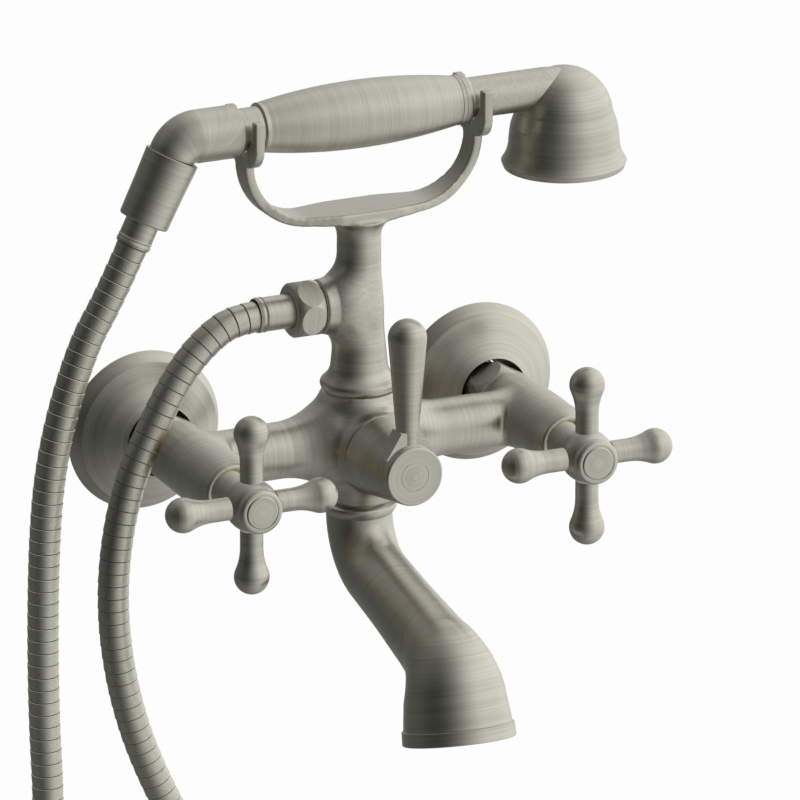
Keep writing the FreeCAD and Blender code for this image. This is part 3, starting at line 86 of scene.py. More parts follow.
# %% Route of the hose
BAR_Y = -0.048
HOSE_ROUTE = [
    (-33.0, 59.2), (-53.8, 59.2), (-65.9, 53.6), (-79.0, 41.0), (-90.9, 20.9), (-105.3, -9.3),
    (-111.4, -50.2), (-107.0, -90.8), (-94.6, -129.6), (-68.7, -178.5), (-46.2, -235.1),
    (-18.7, -300.2), (-6.5, -365.0), (-14.1, -416.7), (-50.8, -452.2), (-101.2, -452.2),
    (-138.0, -416.7), (-149.2, -349.9), (-149.7, -280.0), (-146.0, -215.1), (-138.5, -150.5),
    (-141.8, -90.8), (-141.0, -20.9), (-136.1, 17.5), (-123.4, 56.6), (-111.3, 75.6), (-101.0, 96.6),
]

route_data = bpy.data.curves.new("hose_route", "CURVE")
route_data.dimensions = "3D"
route_data.resolution_u = 24
spline = route_data.splines.new("NURBS")
spline.points.add(len(HOSE_ROUTE) - 1)
for point, (x, z) in zip(spline.points, HOSE_ROUTE):
    point.co = (x / 1000, BAR_Y, z / 1000, 1.0)
spline.order_u = 3
spline.use_endpoint_u = True
route = bpy.data.objects.new("hose_route", route_data)
route_line = bpy.data.meshes.new_from_object(route)
line = np.array([vertex.co for vertex in route_line.vertices])
bpy.data.objects.remove(route)
steps = np.linalg.norm(np.diff(line, axis=0), axis=1)
along = np.concatenate([[0], np.cumsum(steps)])
hose_length = float(along[-1])
print("the hose is", round(hose_length, 3), "m long")

# %% [markdown]
# ## Ribbed hose
# The real hose is a wound metal strip. Each turn has a flat crest that widens a little and then
# drops into a narrow groove, where the next turn hooks in. A ring of points is laid down for each
# corner of that section, square to the route, and the rings are joined by faces. A float attribute
# called turn counts the turns along the hose, so that the finish can find the grooves.

# %% Ribbed hose
RIB_PITCH = 0.0053
RIB_SECTION = [(0.0, 6.24), (0.45, 6.38), (0.90, 6.50), (0.925, 6.42), (0.935, 5.95), (0.99, 5.95)]
HOSE_SIDES = 36
HOSE_HIDDEN = 0.0135
TANGENT_REACH = 0.002


def hose_run(name, start, end):
    """A stretch of the ribbed hose between two lengths along its route, and the line of its rings."""
    ribs = round((end - start) / RIB_PITCH)
    pitch = (end - start) / ribs
    stations = [(rib + part, radius / 1000) for rib in range(ribs) for part, radius in RIB_SECTION]
    stations.append((ribs, RIB_SECTION[0][1] / 1000))
    places = np.array([start + turn * pitch for turn, _ in stations])

    def on_route(lengths):
        return np.stack([np.interp(lengths, along, line[:, axis]) for axis in range(3)], axis=1)

    centres = on_route(places)
    tangents = on_route(places + TANGENT_REACH) - on_route(places - TANGENT_REACH)
    tangents /= np.linalg.norm(tangents, axis=1)[:, None]
    sideways = np.array([0.0, 1.0, 0.0])
    outwards = np.cross(tangents, sideways)
    mesh = bmesh.new()
    turns = mesh.verts.layers.float.new("turn")
    rings = []
    for centre, outward, (turn, radius) in zip(centres, outwards, stations):
        ring = []
        for side in range(HOSE_SIDES):
            angle = 2 * math.pi * side / HOSE_SIDES
            offset = math.cos(angle) * outward + math.sin(angle) * sideways
            vertex = mesh.verts.new(centre + radius * offset)
            vertex[turns] = turn
            ring.append(vertex)
        rings.append(ring)
    for first, second in zip(rings, rings[1:]):
        for side in range(HOSE_SIDES):
            after = (side + 1) % HOSE_SIDES
            mesh.faces.new((first[side], first[after], second[after], second[side]))
    mesh.faces.new(rings[0])
    mesh.faces.new(rings[-1])
    bmesh.ops.recalc_face_normals(mesh, faces=mesh.faces)
    data = bpy.data.meshes.new(name)
    mesh.to_mesh(data)
    mesh.free()
    data.polygons.foreach_set("use_smooth", [True] * len(data.polygons))
    data.set_sharp_from_angle(angle=math.radians(28))
    piece = bpy.data.objects.new(name, data)
    bpy.context.scene.collection.objects.link(piece)
    print(name, "has", ribs, "turns and", len(data.polygons), "faces")
    return piece, centres


# %% [markdown]
# The hose is made as two runs that meet at the bottom of the loop. The first hangs from the mixer.
# The second stays where it lies.

# %% Two runs of hose
loop_foot = float(along[int(np.argmin(line[:, 2]))])
first_run, first_line = hose_run("hose_from_mixer", HOSE_HIDDEN, loop_foot)
second_run, second_line = hose_run("hose_to_handset", loop_foot, hose_length)
for run in (first_run, second_run):
    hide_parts("hose")
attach(first_run, "mixer")
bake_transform(second_run)

# %% [markdown]
# ## Turned pieces
# Covers, rings and discs are turned on a lathe, and spinning an outline is the same thing done in
# Blender. A ring of points is set on the corners of the section and spun once round the axis.

# %% A piece spun from its outline
Y_FRONT = (0.0, -1.0, 0.0)


def spun_piece(name, outline, base, axis, steps=96, crisp=30):
    """Spins a closed outline of (height, radius) corners in millimetres about an axis through base."""
    axis = Vector(axis).normalized()
    across = axis.orthogonal().normalized()
    bpy.ops.object.select_all(action="DESELECT")
    bpy.ops.mesh.primitive_circle_add(vertices=len(outline), radius=0.01)
    piece = bpy.context.object
    piece.name = name
    for vertex, (height, radius) in zip(piece.data.vertices, outline):
        vertex.co = Vector(base) + (axis * height + across * radius) / 1000
    bpy.ops.object.mode_set(mode="EDIT")
    bpy.ops.mesh.select_all(action="SELECT")
    bpy.ops.mesh.spin(steps=steps, angle=2 * math.pi, center=base, axis=axis)
    bpy.ops.mesh.select_all(action="SELECT")
    bpy.ops.mesh.remove_doubles(threshold=1e-6)
    bpy.ops.mesh.normals_make_consistent(inside=False)
    bpy.ops.object.mode_set(mode="OBJECT")
    bpy.ops.object.shade_smooth_by_angle(angle=math.radians(crisp))
    return piece


def stand_in(piece, node, body):
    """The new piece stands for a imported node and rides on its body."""
    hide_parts(node)
    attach(piece, body)
    print(piece.name, "has", len(piece.data.polygons), "faces")


# %% [markdown]
# ## Wall covers
# Each inlet has a pressed cover on the wall. Its flank is deep and tapers a little, then a sharp
# edge leads to a low dome that closes in round the union nut. A thin plate lies behind, on the wall.

# %% Wall covers
INLET = 0.075
COVER_OUTLINE = [
    (0.0, 33.7), (5.7, 30.5), (6.1, 30.2), (6.3, 29.8), (9.4, 26.6), (12.2, 23.0), (14.6, 19.4),
    (16.2, 17.0), (17.2, 15.5), (17.6, 15.0), (17.75, 14.8), (17.5, 14.55), (16.6, 14.7), (15.0, 17.2),
    (13.2, 20.2), (11.0, 23.6), (8.4, 26.6), (5.6, 29.0), (1.6, 30.4), (1.6, 10.7), (0.0, 10.7),
]

covers = {}
for side, x in (("left", -INLET), ("right", INLET)):
    covers[side] = spun_piece(f"{side}_wall_cover", COVER_OUTLINE, (x, 0, 0), Y_FRONT, steps=128)
    stand_in(covers[side], f"{side}_escutcheon", "mixer")

# %% [markdown]
# ## Riser casting
# The riser, its side port and the cradle are one casting, so they run into each other with soft
# fillets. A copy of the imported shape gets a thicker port, is remeshed as one skin with the Remesh
# modifier and softened.

# %% Join the port and remesh
PORT_Z = 0.0592
PORT_END = -0.0186
PORT_RADIUS = 11.2
VOXEL = 0.0006
PORT_OUTLINE = [(0, 6.5), (0, 10.7), (0.15, 11.05), (0.5, PORT_RADIUS), (10.0, PORT_RADIUS), (13.4, 11.3),
                (16.6, 10.0), (19.4, 7.6), (20.6, 5.8), (10.0, 5.8)]
CRADLE_FOOT = 97


def one_skin(name, node, added, voxel):
    """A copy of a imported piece, joined with the added pieces and remeshed as one skin."""
    casting = bpy.data.objects.new(name, cad[node].data.copy())
    bpy.context.scene.collection.objects.link(casting)
    bpy.ops.object.select_all(action="DESELECT")
    for piece in (*added, casting):
        piece.select_set(True)
    bpy.context.view_layer.objects.active = casting
    bpy.ops.object.join()
    bpy.ops.object.mode_set(mode="EDIT")
    bpy.ops.mesh.select_all(action="SELECT")
    bpy.ops.mesh.remove_doubles(threshold=1e-6)
    bpy.ops.object.mode_set(mode="OBJECT")
    skin = casting.modifiers.new("skin", "REMESH")
    skin.mode = "VOXEL"
    skin.voxel_size = voxel
    bpy.ops.object.modifier_apply(modifier="skin")
    return casting


def smooth_skin(piece, iterations, weight=None):
    """Smooths a skin; weight gives how much each point takes part, from its place in millimetres."""
    softened = piece.modifiers.new("softened", "SMOOTH")
    softened.factor = 0.5
    softened.iterations = iterations
    if weight is not None:
        group = piece.vertex_groups.new(name="softened")
        for vertex in piece.data.vertices:
            amount = weight(*(vertex.co * 1000))
            if amount > 0.01:
                group.add([vertex.index], min(amount, 1.0), "REPLACE")
        softened.vertex_group = "softened"
    bpy.ops.object.modifier_apply(modifier="softened")
    piece.vertex_groups.clear()


def fade(value, start, end):
    """Falls from 1 at start to 0 at end."""
    return min(max((end - value) / (end - start), 0.0), 1.0)


def near_cradle_foot(x, y, z):
    """1 on the band of the cradle above the column, and 0 away from there."""
    return fade(abs(x), 28, 38) * fade(abs(z - CRADLE_FOOT), 9, 14)


port = spun_piece("port_blank", PORT_OUTLINE, (PORT_END, BAR_Y, PORT_Z), (1, 0, 0))
riser = one_skin("riser_casting", "riser_cradle", [port], VOXEL)
smooth_skin(riser, 6)
smooth_skin(riser, 30, near_cradle_foot)
bpy.ops.object.shade_smooth()
print("the riser's skin has", len(riser.data.polygons), "faces")

# %% [markdown]
# ### Fillet of the port
# The column is a slightly hollow cone, and the port ends in a ball inside it. Each point near them
# slides down the slope of their smooth union until it lies on it, which leaves a founder's fillet.

# %% Fillet between the column and its port
COLUMN_ROOT = (0.0315, 0.0119)
COLUMN_NECK = (0.0740, 0.0091)
COLUMN_WAIST = 0.0005
PORT_BALL = (-0.0085, 0.0121)
FILLET = 0.0100
PORT_ZONE = (0.036, 0.084)
NUT_SIDE = PORT_END + 0.0006
DEEPEST = -0.0030
PROBE = 1e-5


def column_radius(z):
    """Radius of the riser's column, a slightly hollow cone."""
    middle = (COLUMN_ROOT[0] + COLUMN_NECK[0]) / 2
    half = (COLUMN_NECK[0] - COLUMN_ROOT[0]) / 2
    straight = np.interp(z, (COLUMN_ROOT[0], COLUMN_NECK[0]), (COLUMN_ROOT[1], COLUMN_NECK[1]))
    return straight - COLUMN_WAIST * np.clip(1 - ((z - middle) / half) ** 2, 0, 1)


def port_and_column(points):
    """Distance of points to the smooth union of column and side port, negative inside."""
    x, y, z = points[:, 0], points[:, 1] - BAR_Y, points[:, 2]
    column = np.hypot(x, y) - column_radius(z)
    reach = np.hypot(y, z - PORT_Z)
    barrel = np.maximum(reach - PORT_RADIUS / 1000, x - PORT_BALL[0])
    ball = np.sqrt((x - PORT_BALL[0]) ** 2 + reach ** 2) - PORT_BALL[1]
    branch = np.minimum(barrel, ball)
    overlap = np.clip(FILLET - np.abs(column - branch), 0, None) / FILLET
    return np.minimum(column, branch) - overlap ** 2 * FILLET / 4


corners = np.empty(len(riser.data.vertices) * 3)
riser.data.vertices.foreach_get("co", corners)
corners = corners.reshape(-1, 3)
near = (corners[:, 2] > PORT_ZONE[0]) & (corners[:, 2] < PORT_ZONE[1]) & (corners[:, 0] > NUT_SIDE)
near &= port_and_column(corners) > DEEPEST
sliding = corners[near]
for _ in range(8):
    here = port_and_column(sliding)
    slope = np.stack([(port_and_column(sliding + move) - here) / PROBE for move in np.eye(3) * PROBE], 1)
    pull = here / np.maximum((slope ** 2).sum(axis=1), 0.25)
    sliding = sliding - slope * pull[:, None] * 0.9
corners[near] = sliding
riser.data.vertices.foreach_set("co", corners.ravel())
riser.data.update()
stand_in(riser, "riser_cradle", "mixer")
print(int(near.sum()), "points slid onto the fillet")

# %% [markdown]
# ## Body casting
# The crossbar, the two barrels and the core are one casting too. Turned cones fill the corners
# where the bar meets the core and cover the crease of each barrel, then the same remesh and more
# smoothing near the joints give the wide fillets of a cast and ground body.

# %% Body casting
BODY_VOXEL = 0.00074
CORE_FILLER = [(10, 10), (10, 19.8), (16, 18.8), (20, 16.4), (24, 14.3), (29, 12.6), (35, 11.6), (35, 10)]
BARREL_FILLER = [(50, 11), (50, 13.6), (57, 13.9), (64, 13.85), (72, 13.45), (72, 11)]
CORE_JOINT = 22
BARREL_JOINT = 61

fillers = []
for sign in (-1, 1):
    fillers.append(spun_piece("core_filler", CORE_FILLER, (0, BAR_Y, 0), (sign, 0, 0)))
    fillers.append(spun_piece("barrel_filler", BARREL_FILLER, (sign * INLET, 0, 0), Y_FRONT))
body = one_skin("body_casting", "mixer_body", fillers, BODY_VOXEL)


def near_joints(x, y, z):
    """1 where the bar meets a barrel or the core, and 0 away from there."""
    side = abs(x)
    depth = abs(y - BAR_Y * 1000)
    outside = 1 - fade(math.hypot(depth, z), 7, 9)
    at_barrel = fade(abs(side - BARREL_JOINT), 5, 11) * fade(depth, 19, 23)
    at_core = fade(abs(side - CORE_JOINT), 7, 13)
    return outside * max(at_barrel, at_core)


smooth_skin(body, 4)
smooth_skin(body, 110, near_joints)
bpy.ops.object.shade_smooth_by_angle(angle=math.radians(40))
stand_in(body, "mixer_body", "mixer")

# %% [markdown]
# ## Spout
# The spout is a bent tube that widens towards its mouth and ends in a narrow band. Its middle line
# goes down, forward and down again, and a radius belongs to each length along it.

# %% Middle line of the spout
SPOUT_START = -30.9
UPPER_BEND = 24.0
UPPER_TURN = 76.4
SPOUT_RUN = 61.6
LOWER_BEND = 20.0
MOUTH_LEAN = 14.5
SPOUT_TAIL = 11.0
BAND = 6.0
RADII = [(0.0, 13.6), (32.0, 13.6), (56.0, 14.0), (72.5, 14.8), (85.0, 15.3), (94.0, 16.2), (102.0, 18.2),
         (108.0, 20.0), (115.0, 21.2), (121.0, 21.6), (126.2, 22.6)]
SPIGOT_RINGS = [(-13.5, 9.4), (-14.0, 9.8), (-26.1, 9.8), (-26.2, 14.6), (-26.5, 15.2), (-27.2, 15.5),
                (-28.2, 15.4), (-29.2, 14.9), (-30.2, 14.3)]
BAND_RINGS = [(0.2, 22.95), (0.4, 23.1), (BAND - 0.3, 23.35), (BAND, 23.05)]


def spout_line(step=1.6):
    """Stations along the spout: length, centre in the plane X = 0, and lean from straight down."""
    place = Vector((BAR_Y * 1000, SPOUT_START))
    lean = 0.0
    length = 0.0
    stations = [(length, place, lean)]
    for size, turn in ((UPPER_BEND, UPPER_TURN), (SPOUT_RUN, 0), (LOWER_BEND, MOUTH_LEAN - UPPER_TURN),
                       (SPOUT_TAIL, 0)):
        run = size * math.radians(abs(turn)) if turn else size
        count = round(run / step)
        for _ in range(count):
            lean += math.radians(turn) / count
            place = place - Vector((math.sin(lean), math.cos(lean))) * run / count
            length += run / count
            stations.append((length, place, lean))
    return stations


def spout_radius(length):
    """Outer radius at a length along the spout, averaged so that it has no corners."""
    window = np.linspace(-5, 5, 11)
    return float(np.mean(np.interp(length + window, *zip(*RADII))))


line_of_spout = spout_line()
skin_rings = [(Vector((BAR_Y * 1000, z)), 0.0, radius) for z, radius in SPIGOT_RINGS]
skin_rings += [(place, lean, spout_radius(length)) for length, place, lean in line_of_spout]
mouth = line_of_spout[-1][1]
mouth_lean = line_of_spout[-1][2]
mouth_way = -Vector((math.sin(mouth_lean), math.cos(mouth_lean)))
skin_rings += [(mouth + mouth_way * ahead, mouth_lean, radius) for ahead, radius in BAND_RINGS]
print("the spout's mouth is at", [round(v, 1) for v in mouth + mouth_way * BAND], "mm")

# %% [markdown]
# ### Skin of the spout
# The first ring is a circle at the top of the spigot. It is extruded along the middle line, and at
# each step it is turned with the bend and scaled to the next radius.

# %% Extrude the skin of the spout
bpy.ops.object.select_all(action="DESELECT")
place, lean, radius = skin_rings[0]
bpy.ops.mesh.primitive_circle_add(vertices=72, radius=radius / 1000,
                                  location=(0, place[0] / 1000, place[1] / 1000))
spout_skin = bpy.context.object
spout_skin.name = "spout_skin"
bpy.ops.object.transform_apply(location=True, rotation=True, scale=True)
bpy.ops.object.mode_set(mode="EDIT")
bpy.ops.mesh.select_all(action="SELECT")
for next_place, next_lean, next_radius in skin_rings[1:]:
    move = (next_place - place) / 1000
    centre = (0, next_place[0] / 1000, next_place[1] / 1000)
    bpy.ops.mesh.extrude_region_move(TRANSFORM_OT_translate={"value": (0, move[0], move[1])})
    if abs(next_lean - lean) > 1e-6:
        bpy.ops.transform.rotate(value=next_lean - lean, orient_axis="X", center_override=centre)
    bpy.ops.transform.resize(value=[next_radius / radius] * 3, center_override=centre)
    place, lean, radius = next_place, next_lean, next_radius
bpy.ops.mesh.select_all(action="SELECT")
bpy.ops.mesh.normals_make_consistent(inside=False)
bpy.ops.object.mode_set(mode="OBJECT")

# %% [markdown]
# ### Wall of the spout
# The skin is only a surface so far, and the Solidify modifier thickens it inwards.

# %% Wall of the spout
SPOUT_WALL = 0.0022

wall = spout_skin.modifiers.new("wall", "SOLIDIFY")
wall.thickness = SPOUT_WALL
wall.offset = -1.0
bpy.ops.object.modifier_apply(modifier="wall")
bpy.ops.object.shade_smooth_by_angle(angle=math.radians(30))
stand_in(spout_skin, "spout", "spout")

# %% [markdown]
# ## Aerator
# A ring in the mouth holds a fine screen that mixes air into the water. The screen is a flat grid,
# cut to a disc and turned into thin bars by the Wireframe modifier.

# %% Aerator
AERATOR_OUTLINE = [(-1.8, 20.9), (-1.8, 12.6), (-1.2, 12.2), (-1.2, 11.4), (-6.0, 11.4), (-9.0, 20.9)]
SCREEN_CELLS = 18
SCREEN_RADIUS = 0.0117
SCREEN_DEPTH = 0.0022
SCREEN_BAR = 0.0004

mouth_centre = Vector((0, *(mouth + mouth_way * BAND))) / 1000
mouth_out = Vector((0, mouth_way[0], mouth_way[1]))
aerator = spun_piece("aerator_ring", AERATOR_OUTLINE, mouth_centre, mouth_out)
stand_in(aerator, "aerator_housing", "spout")

bpy.ops.object.select_all(action="DESELECT")
bpy.ops.mesh.primitive_grid_add(x_subdivisions=SCREEN_CELLS, y_subdivisions=SCREEN_CELLS,
                                size=SCREEN_RADIUS * 2 + 0.0002,
                                location=mouth_centre - mouth_out * SCREEN_DEPTH,
                                rotation=(math.pi - mouth_lean, 0, 0))
screen = bpy.context.object
screen.name = "aerator_grid"
for edge in screen.data.edges:
    edge.select = False
for vertex in screen.data.vertices:
    vertex.select = False
for face in screen.data.polygons:
    face.select = face.center.length > SCREEN_RADIUS
bpy.ops.object.mode_set(mode="EDIT")
bpy.ops.mesh.delete(type="FACE")
bpy.ops.object.mode_set(mode="OBJECT")
bpy.ops.object.transform_apply(location=True, rotation=True, scale=True)
bars = screen.modifiers.new("bars", "WIREFRAME")
bars.thickness = SCREEN_BAR
bpy.ops.object.modifier_apply(modifier="bars")
stand_in(screen, "aerator_screen", "spout")

# %% [markdown]
# ## Hose nut
# A hexagon bar is turned down at both ends, which leaves an arc on each flat. The nut is a
# six-sided cylinder that a Boolean modifier keeps only inside a turned ring with that chamfer.

# %% Hose nut
NUT_FROM = -0.0188
NUT_FLATS = 22.5
NUT_TURN = math.radians(20)
NUT_TURNING = [(0, 7.3), (0, 10.3), (0.45, 10.9), (1.5, 11.6), (3.2, 12.4), (5.2, 12.95), (7.2, 12.95),
               (9.2, 12.4), (10.9, 11.6), (11.95, 10.9), (12.4, 10.3), (12.4, 7.3)]


def hexagon_nut(name, flats, outline, base, axis, lying):
    """A six-sided cylinder, kept only inside a turned outline about an axis through base."""
    length = outline[-1][0]
    turning = spun_piece("nut_turning", outline, base, axis)
    middle = Vector(base) + Vector(axis) * length / 2000
    bpy.ops.object.select_all(action="DESELECT")
    bpy.ops.mesh.primitive_cylinder_add(vertices=6, radius=flats / 2000 / math.cos(math.pi / 6),
                                        depth=(length + 1) / 1000, location=middle, rotation=lying)
    piece = bpy.context.object
    piece.name = name
    bpy.ops.object.transform_apply(location=True, rotation=True, scale=True)
    kept = piece.modifiers.new("kept", "BOOLEAN")
    kept.operation = "INTERSECT"
    kept.solver = "EXACT"
    kept.object = turning
    bpy.ops.object.modifier_apply(modifier="kept")
    bpy.data.objects.remove(turning)
    bpy.ops.object.shade_smooth_by_angle(angle=math.radians(18))
    return piece


lying = (Matrix.Rotation(-NUT_TURN, 3, "X") @ Matrix.Rotation(math.pi / 2, 3, "Y")).to_euler()
nut = hexagon_nut("hexagon_hose_nut", NUT_FLATS, NUT_TURNING, (NUT_FROM, BAR_Y, PORT_Z), (-1, 0, 0), lying)
stand_in(nut, "hose_nut", "mixer")

# %% [markdown]
# The two union nuts behind the mixer are made in the same way, larger and with their corners up.

# %% Union nuts
UNION_BACK = -0.015
UNION_FLATS = 25.0
UNION_TURNING = [(0, 10.7), (0, 12.1), (0.6, 12.6), (2.5, 13.5), (5.5, 14.3), (9.5, 14.3), (12.5, 13.5),
                 (14.4, 12.6), (15, 12.1), (15, 10.7)]

union_nuts = {}
for side, x in (("left", -INLET), ("right", INLET)):
    union_nuts[side] = hexagon_nut(f"{side}_hexagon_union_nut", UNION_FLATS, UNION_TURNING,
                                   (x, UNION_BACK, 0), Y_FRONT, (math.pi / 2, 0, 0))
    stand_in(union_nuts[side], f"{side}_union_nut", "mixer")

# %% [markdown]
# ## Sleeve below the elbow
# The tube starts a little wider than the elbow, so that its edge shows as a fine line, and narrows
# towards the hose.

# %% Sleeve
SLEEVE_TOP = Vector((-0.0831, BAR_Y, 0.1322))
SLEEVE_LEAN = math.radians(26.6)
SLEEVE_DOWN = Vector((-math.sin(SLEEVE_LEAN), 0, -math.cos(SLEEVE_LEAN)))
SLEEVE_OUTLINE = [(0, 7.9), (0, 11.1), (0.25, 11.3), (14, 10.8), (28.5, 10.5), (29.1, 10.1), (29.1, 7.5),
                  (27.5, 7.4)]

sleeve = spun_piece("sleeve_tube", SLEEVE_OUTLINE, SLEEVE_TOP, SLEEVE_DOWN)
stand_in(sleeve, "handset_sleeve", "hand_shower")

# %% [markdown]

# %% [markdown]
# ## Spray face
# The underside of the hand shower is a moulded disc with rings of small rubber nozzles. One nozzle
# is made as a cone with a bevelled tip, and copied into its rings.

# %% Spray face
HEAD_X = 0.0921
face_low, face_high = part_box("spray_face")
FACE_TOP = face_high[2] * 1000
FACE_LOW = face_low[2] * 1000
FACE_OUTLINE = [(FACE_TOP, 0.02), (FACE_TOP, 22.5), (FACE_LOW + 0.5, 22.5), (FACE_LOW + 0.2, 22.2),
                (FACE_LOW + 0.15, 16.0), (FACE_LOW + 0.05, 8.0), (FACE_LOW, 0.02)]
NOZZLE_BASE = 0.0011
NOZZLE_TIP = 0.0007
NOZZLE_HEIGHT = 0.0012
NOZZLE_RINGS = ((0.0, 1), (5.0, 6), (9.6, 12), (14.2, 18), (18.6, 24))

spray_plate = spun_piece("spray_disc", FACE_OUTLINE, (HEAD_X, BAR_Y, 0), (0, 0, 1))
stand_in(spray_plate, "spray_face", "hand_shower")

bpy.ops.object.select_all(action="DESELECT")
bpy.ops.mesh.primitive_cone_add(vertices=14, radius1=NOZZLE_BASE, radius2=NOZZLE_TIP, depth=NOZZLE_HEIGHT,
                                location=(HEAD_X, BAR_Y, (FACE_LOW - 0.2) / 1000), rotation=(math.pi, 0, 0))
nozzle = bpy.context.object
tip = nozzle.modifiers.new("tip", "BEVEL")
tip.width = 0.00012
tip.segments = 2
bpy.ops.object.modifier_apply(modifier="tip")
for radius, amount in NOZZLE_RINGS:
    for number in range(amount):
        if radius:
            copy = nozzle.copy()
            copy.data = nozzle.data.copy()
            turn = 2 * math.pi * number / amount
            copy.location = nozzle.location + Vector((math.cos(turn), math.sin(turn), 0)) * radius / 1000
            bpy.context.scene.collection.objects.link(copy)
            copy.select_set(True)
bpy.context.view_layer.objects.active = nozzle
bpy.ops.object.join()
nozzle.name = "spray_nozzles"
bpy.ops.object.transform_apply(location=True, rotation=True, scale=True)
bpy.ops.object.shade_smooth_by_angle(angle=math.radians(35))
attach(nozzle, "hand_shower")
print("the spray face has", sum(amount for _, amount in NOZZLE_RINGS), "nozzles")

# %% [markdown]
# ## Helpers for the finishes
# Colours are written as the screen shows them and turned into the linear values that shaders use.

# %% Helpers for the finishes


def linear(code):
    """A colour such as #bdbcb0 as linear red, green, blue and alpha."""
    parts = [int(code[start:start + 2], 16) / 255 for start in (1, 3, 5)]
    return [part / 12.92 if part <= 0.04045 else ((part + 0.055) / 1.055) ** 2.4 for part in parts] + [1.0]


def add_node(tree, kind, settings=None, **inputs):
    """Adds a node, sets its options, and fills or links its inputs by name or number."""
    node = tree.nodes.new(kind)
    for option, value in (settings or {}).items():
        setattr(node, option, value)
    for name, value in inputs.items():
        socket = node.inputs[int(name[1:])] if name[0] == "_" else node.inputs[name.replace("_", " ")]
        if isinstance(value, bpy.types.NodeSocket):
            tree.links.new(value, socket)
        else:
            socket.default_value = value
    return node


def vector_step(tree, operation, first, second=None):
    """One step of vector arithmetic; DOT_PRODUCT and LENGTH give a number."""
    inputs = {"_0": first} if second is None else {"_0": first, "_1": second}
    node = add_node(tree, "ShaderNodeVectorMath", {"operation": operation}, **inputs)
    return node.outputs["Value" if operation in ("DOT_PRODUCT", "LENGTH") else "Vector"]


def number_step(tree, operation, first, second=0.0, third=0.0):
    """One step of arithmetic on numbers."""
    node = add_node(tree, "ShaderNodeMath", {"operation": operation}, _0=first, _1=second, _2=third)
    return node.outputs[0]


def rescaled(tree, value, start, end, low=0.0, high=1.0):
    """Brings a value that runs from start to end to one that runs from low to high."""
    node = add_node(tree, "ShaderNodeMapRange", None, Value=value, _1=start, _2=end, _3=low, _4=high)
    return node.outputs[0]


def mix_colours(tree, factor, first, second):
    """The first colour where the factor is 0, and the second where it is 1."""
    return add_node(tree, "ShaderNodeMix", {"data_type": "RGBA"}, _0=factor, _6=first, _7=second).outputs[2]


def new_material(name, colour, roughness, metallic=0.0):
    """A material with its tree and its shader, whose plain values are set on the shader itself."""
    material = bpy.data.materials.new(name)
    material.use_nodes = True
    shader = material.node_tree.nodes["Principled BSDF"]
    shader.inputs["Base Color"].default_value = linear(colour)
    shader.inputs["Roughness"].default_value = roughness
    shader.inputs["Metallic"].default_value = metallic
    return material, material.node_tree, shader


def object_place(tree):
    """The place on the object, in metres."""
    return add_node(tree, "ShaderNodeTexCoord").outputs["Object"]


def split(tree, vector):
    """The three numbers of a vector."""
    return add_node(tree, "ShaderNodeSeparateXYZ", None, Vector=vector).outputs


def surface(tree, shader, colours, noise, shares, gloss):
    """Mixes two colours over part of a noise, and takes the gloss from the same noise."""
    mixed = mix_colours(tree, rescaled(tree, noise, *shares), linear(colours[0]), linear(colours[1]))
    tree.links.new(mixed, shader.inputs["Base Color"])
    tree.links.new(rescaled(tree, noise, 0.3, 0.7, *gloss), shader.inputs["Roughness"])
    return mixed


def dents(tree, shader, noise, strength):
    """Small dents where the noise is low."""
    bump = add_node(tree, "ShaderNodeBump", None, Strength=strength, Distance=0.0001, Height=noise)
    tree.links.new(bump.outputs[0], shader.inputs["Normal"])


# %% [markdown]
# ## Brushed nickel
# Brass parts are plated with nickel and then brushed while they turn, so fine scratches run round
# each piece. The scratches are a noise that changes fast along the piece's axis and away from it,
# and slowly around it. Real grit is finer than a pixel, so the lines are drawn about half a
# millimetre wide to show at all. Their colours differ by only a few percent.

# %% Brushed nickel
NICKEL_LIGHT = "#cecdc0"
NICKEL_DARK = "#bdbcae"
NICKEL_GLOSS = (0.35, 0.42)
FINE = 2100.0
COARSE = 700.0
AROUND = 20.0
X_AXIS = (1.0, 0.0, 0.0)
Y_AXIS = (0.0, 1.0, 0.0)
Z_AXIS = (0.0, 0.0, 1.0)
GRIP_Z = 0.1392
ELBOW_CORNER = (-0.0802, BAR_Y, GRIP_Z)
SLEEVE_WAY = (0.4384, 0.0, 0.8988)


def pair(tree, height, radius):
    """Two numbers as the first two of a vector."""
    return add_node(tree, "ShaderNodeCombineXYZ", X=height, Y=radius).outputs[0]


def about_axis(tree, place, axis, centre):
    """Height along an axis and distance from it, as the first two numbers of a vector."""
    local = vector_step(tree, "SUBTRACT", place, centre)
    height = vector_step(tree, "DOT_PRODUCT", local, axis)
    radius = vector_step(tree, "LENGTH", vector_step(tree, "CROSS_PRODUCT", local, axis))
    return pair(tree, height, radius)


def along_line(tree, place, way):
    """Height along a straight direction only, for scratches square to it."""
    return pair(tree, vector_step(tree, "DOT_PRODUCT", place, way), 0.0)


def choose(tree, mask, first, second):
    """The first vector where the mask is 0, and the second where it is 1."""
    return add_node(tree, "ShaderNodeMix", {"data_type": "VECTOR"}, _0=mask, _4=first, _5=second).outputs[1]


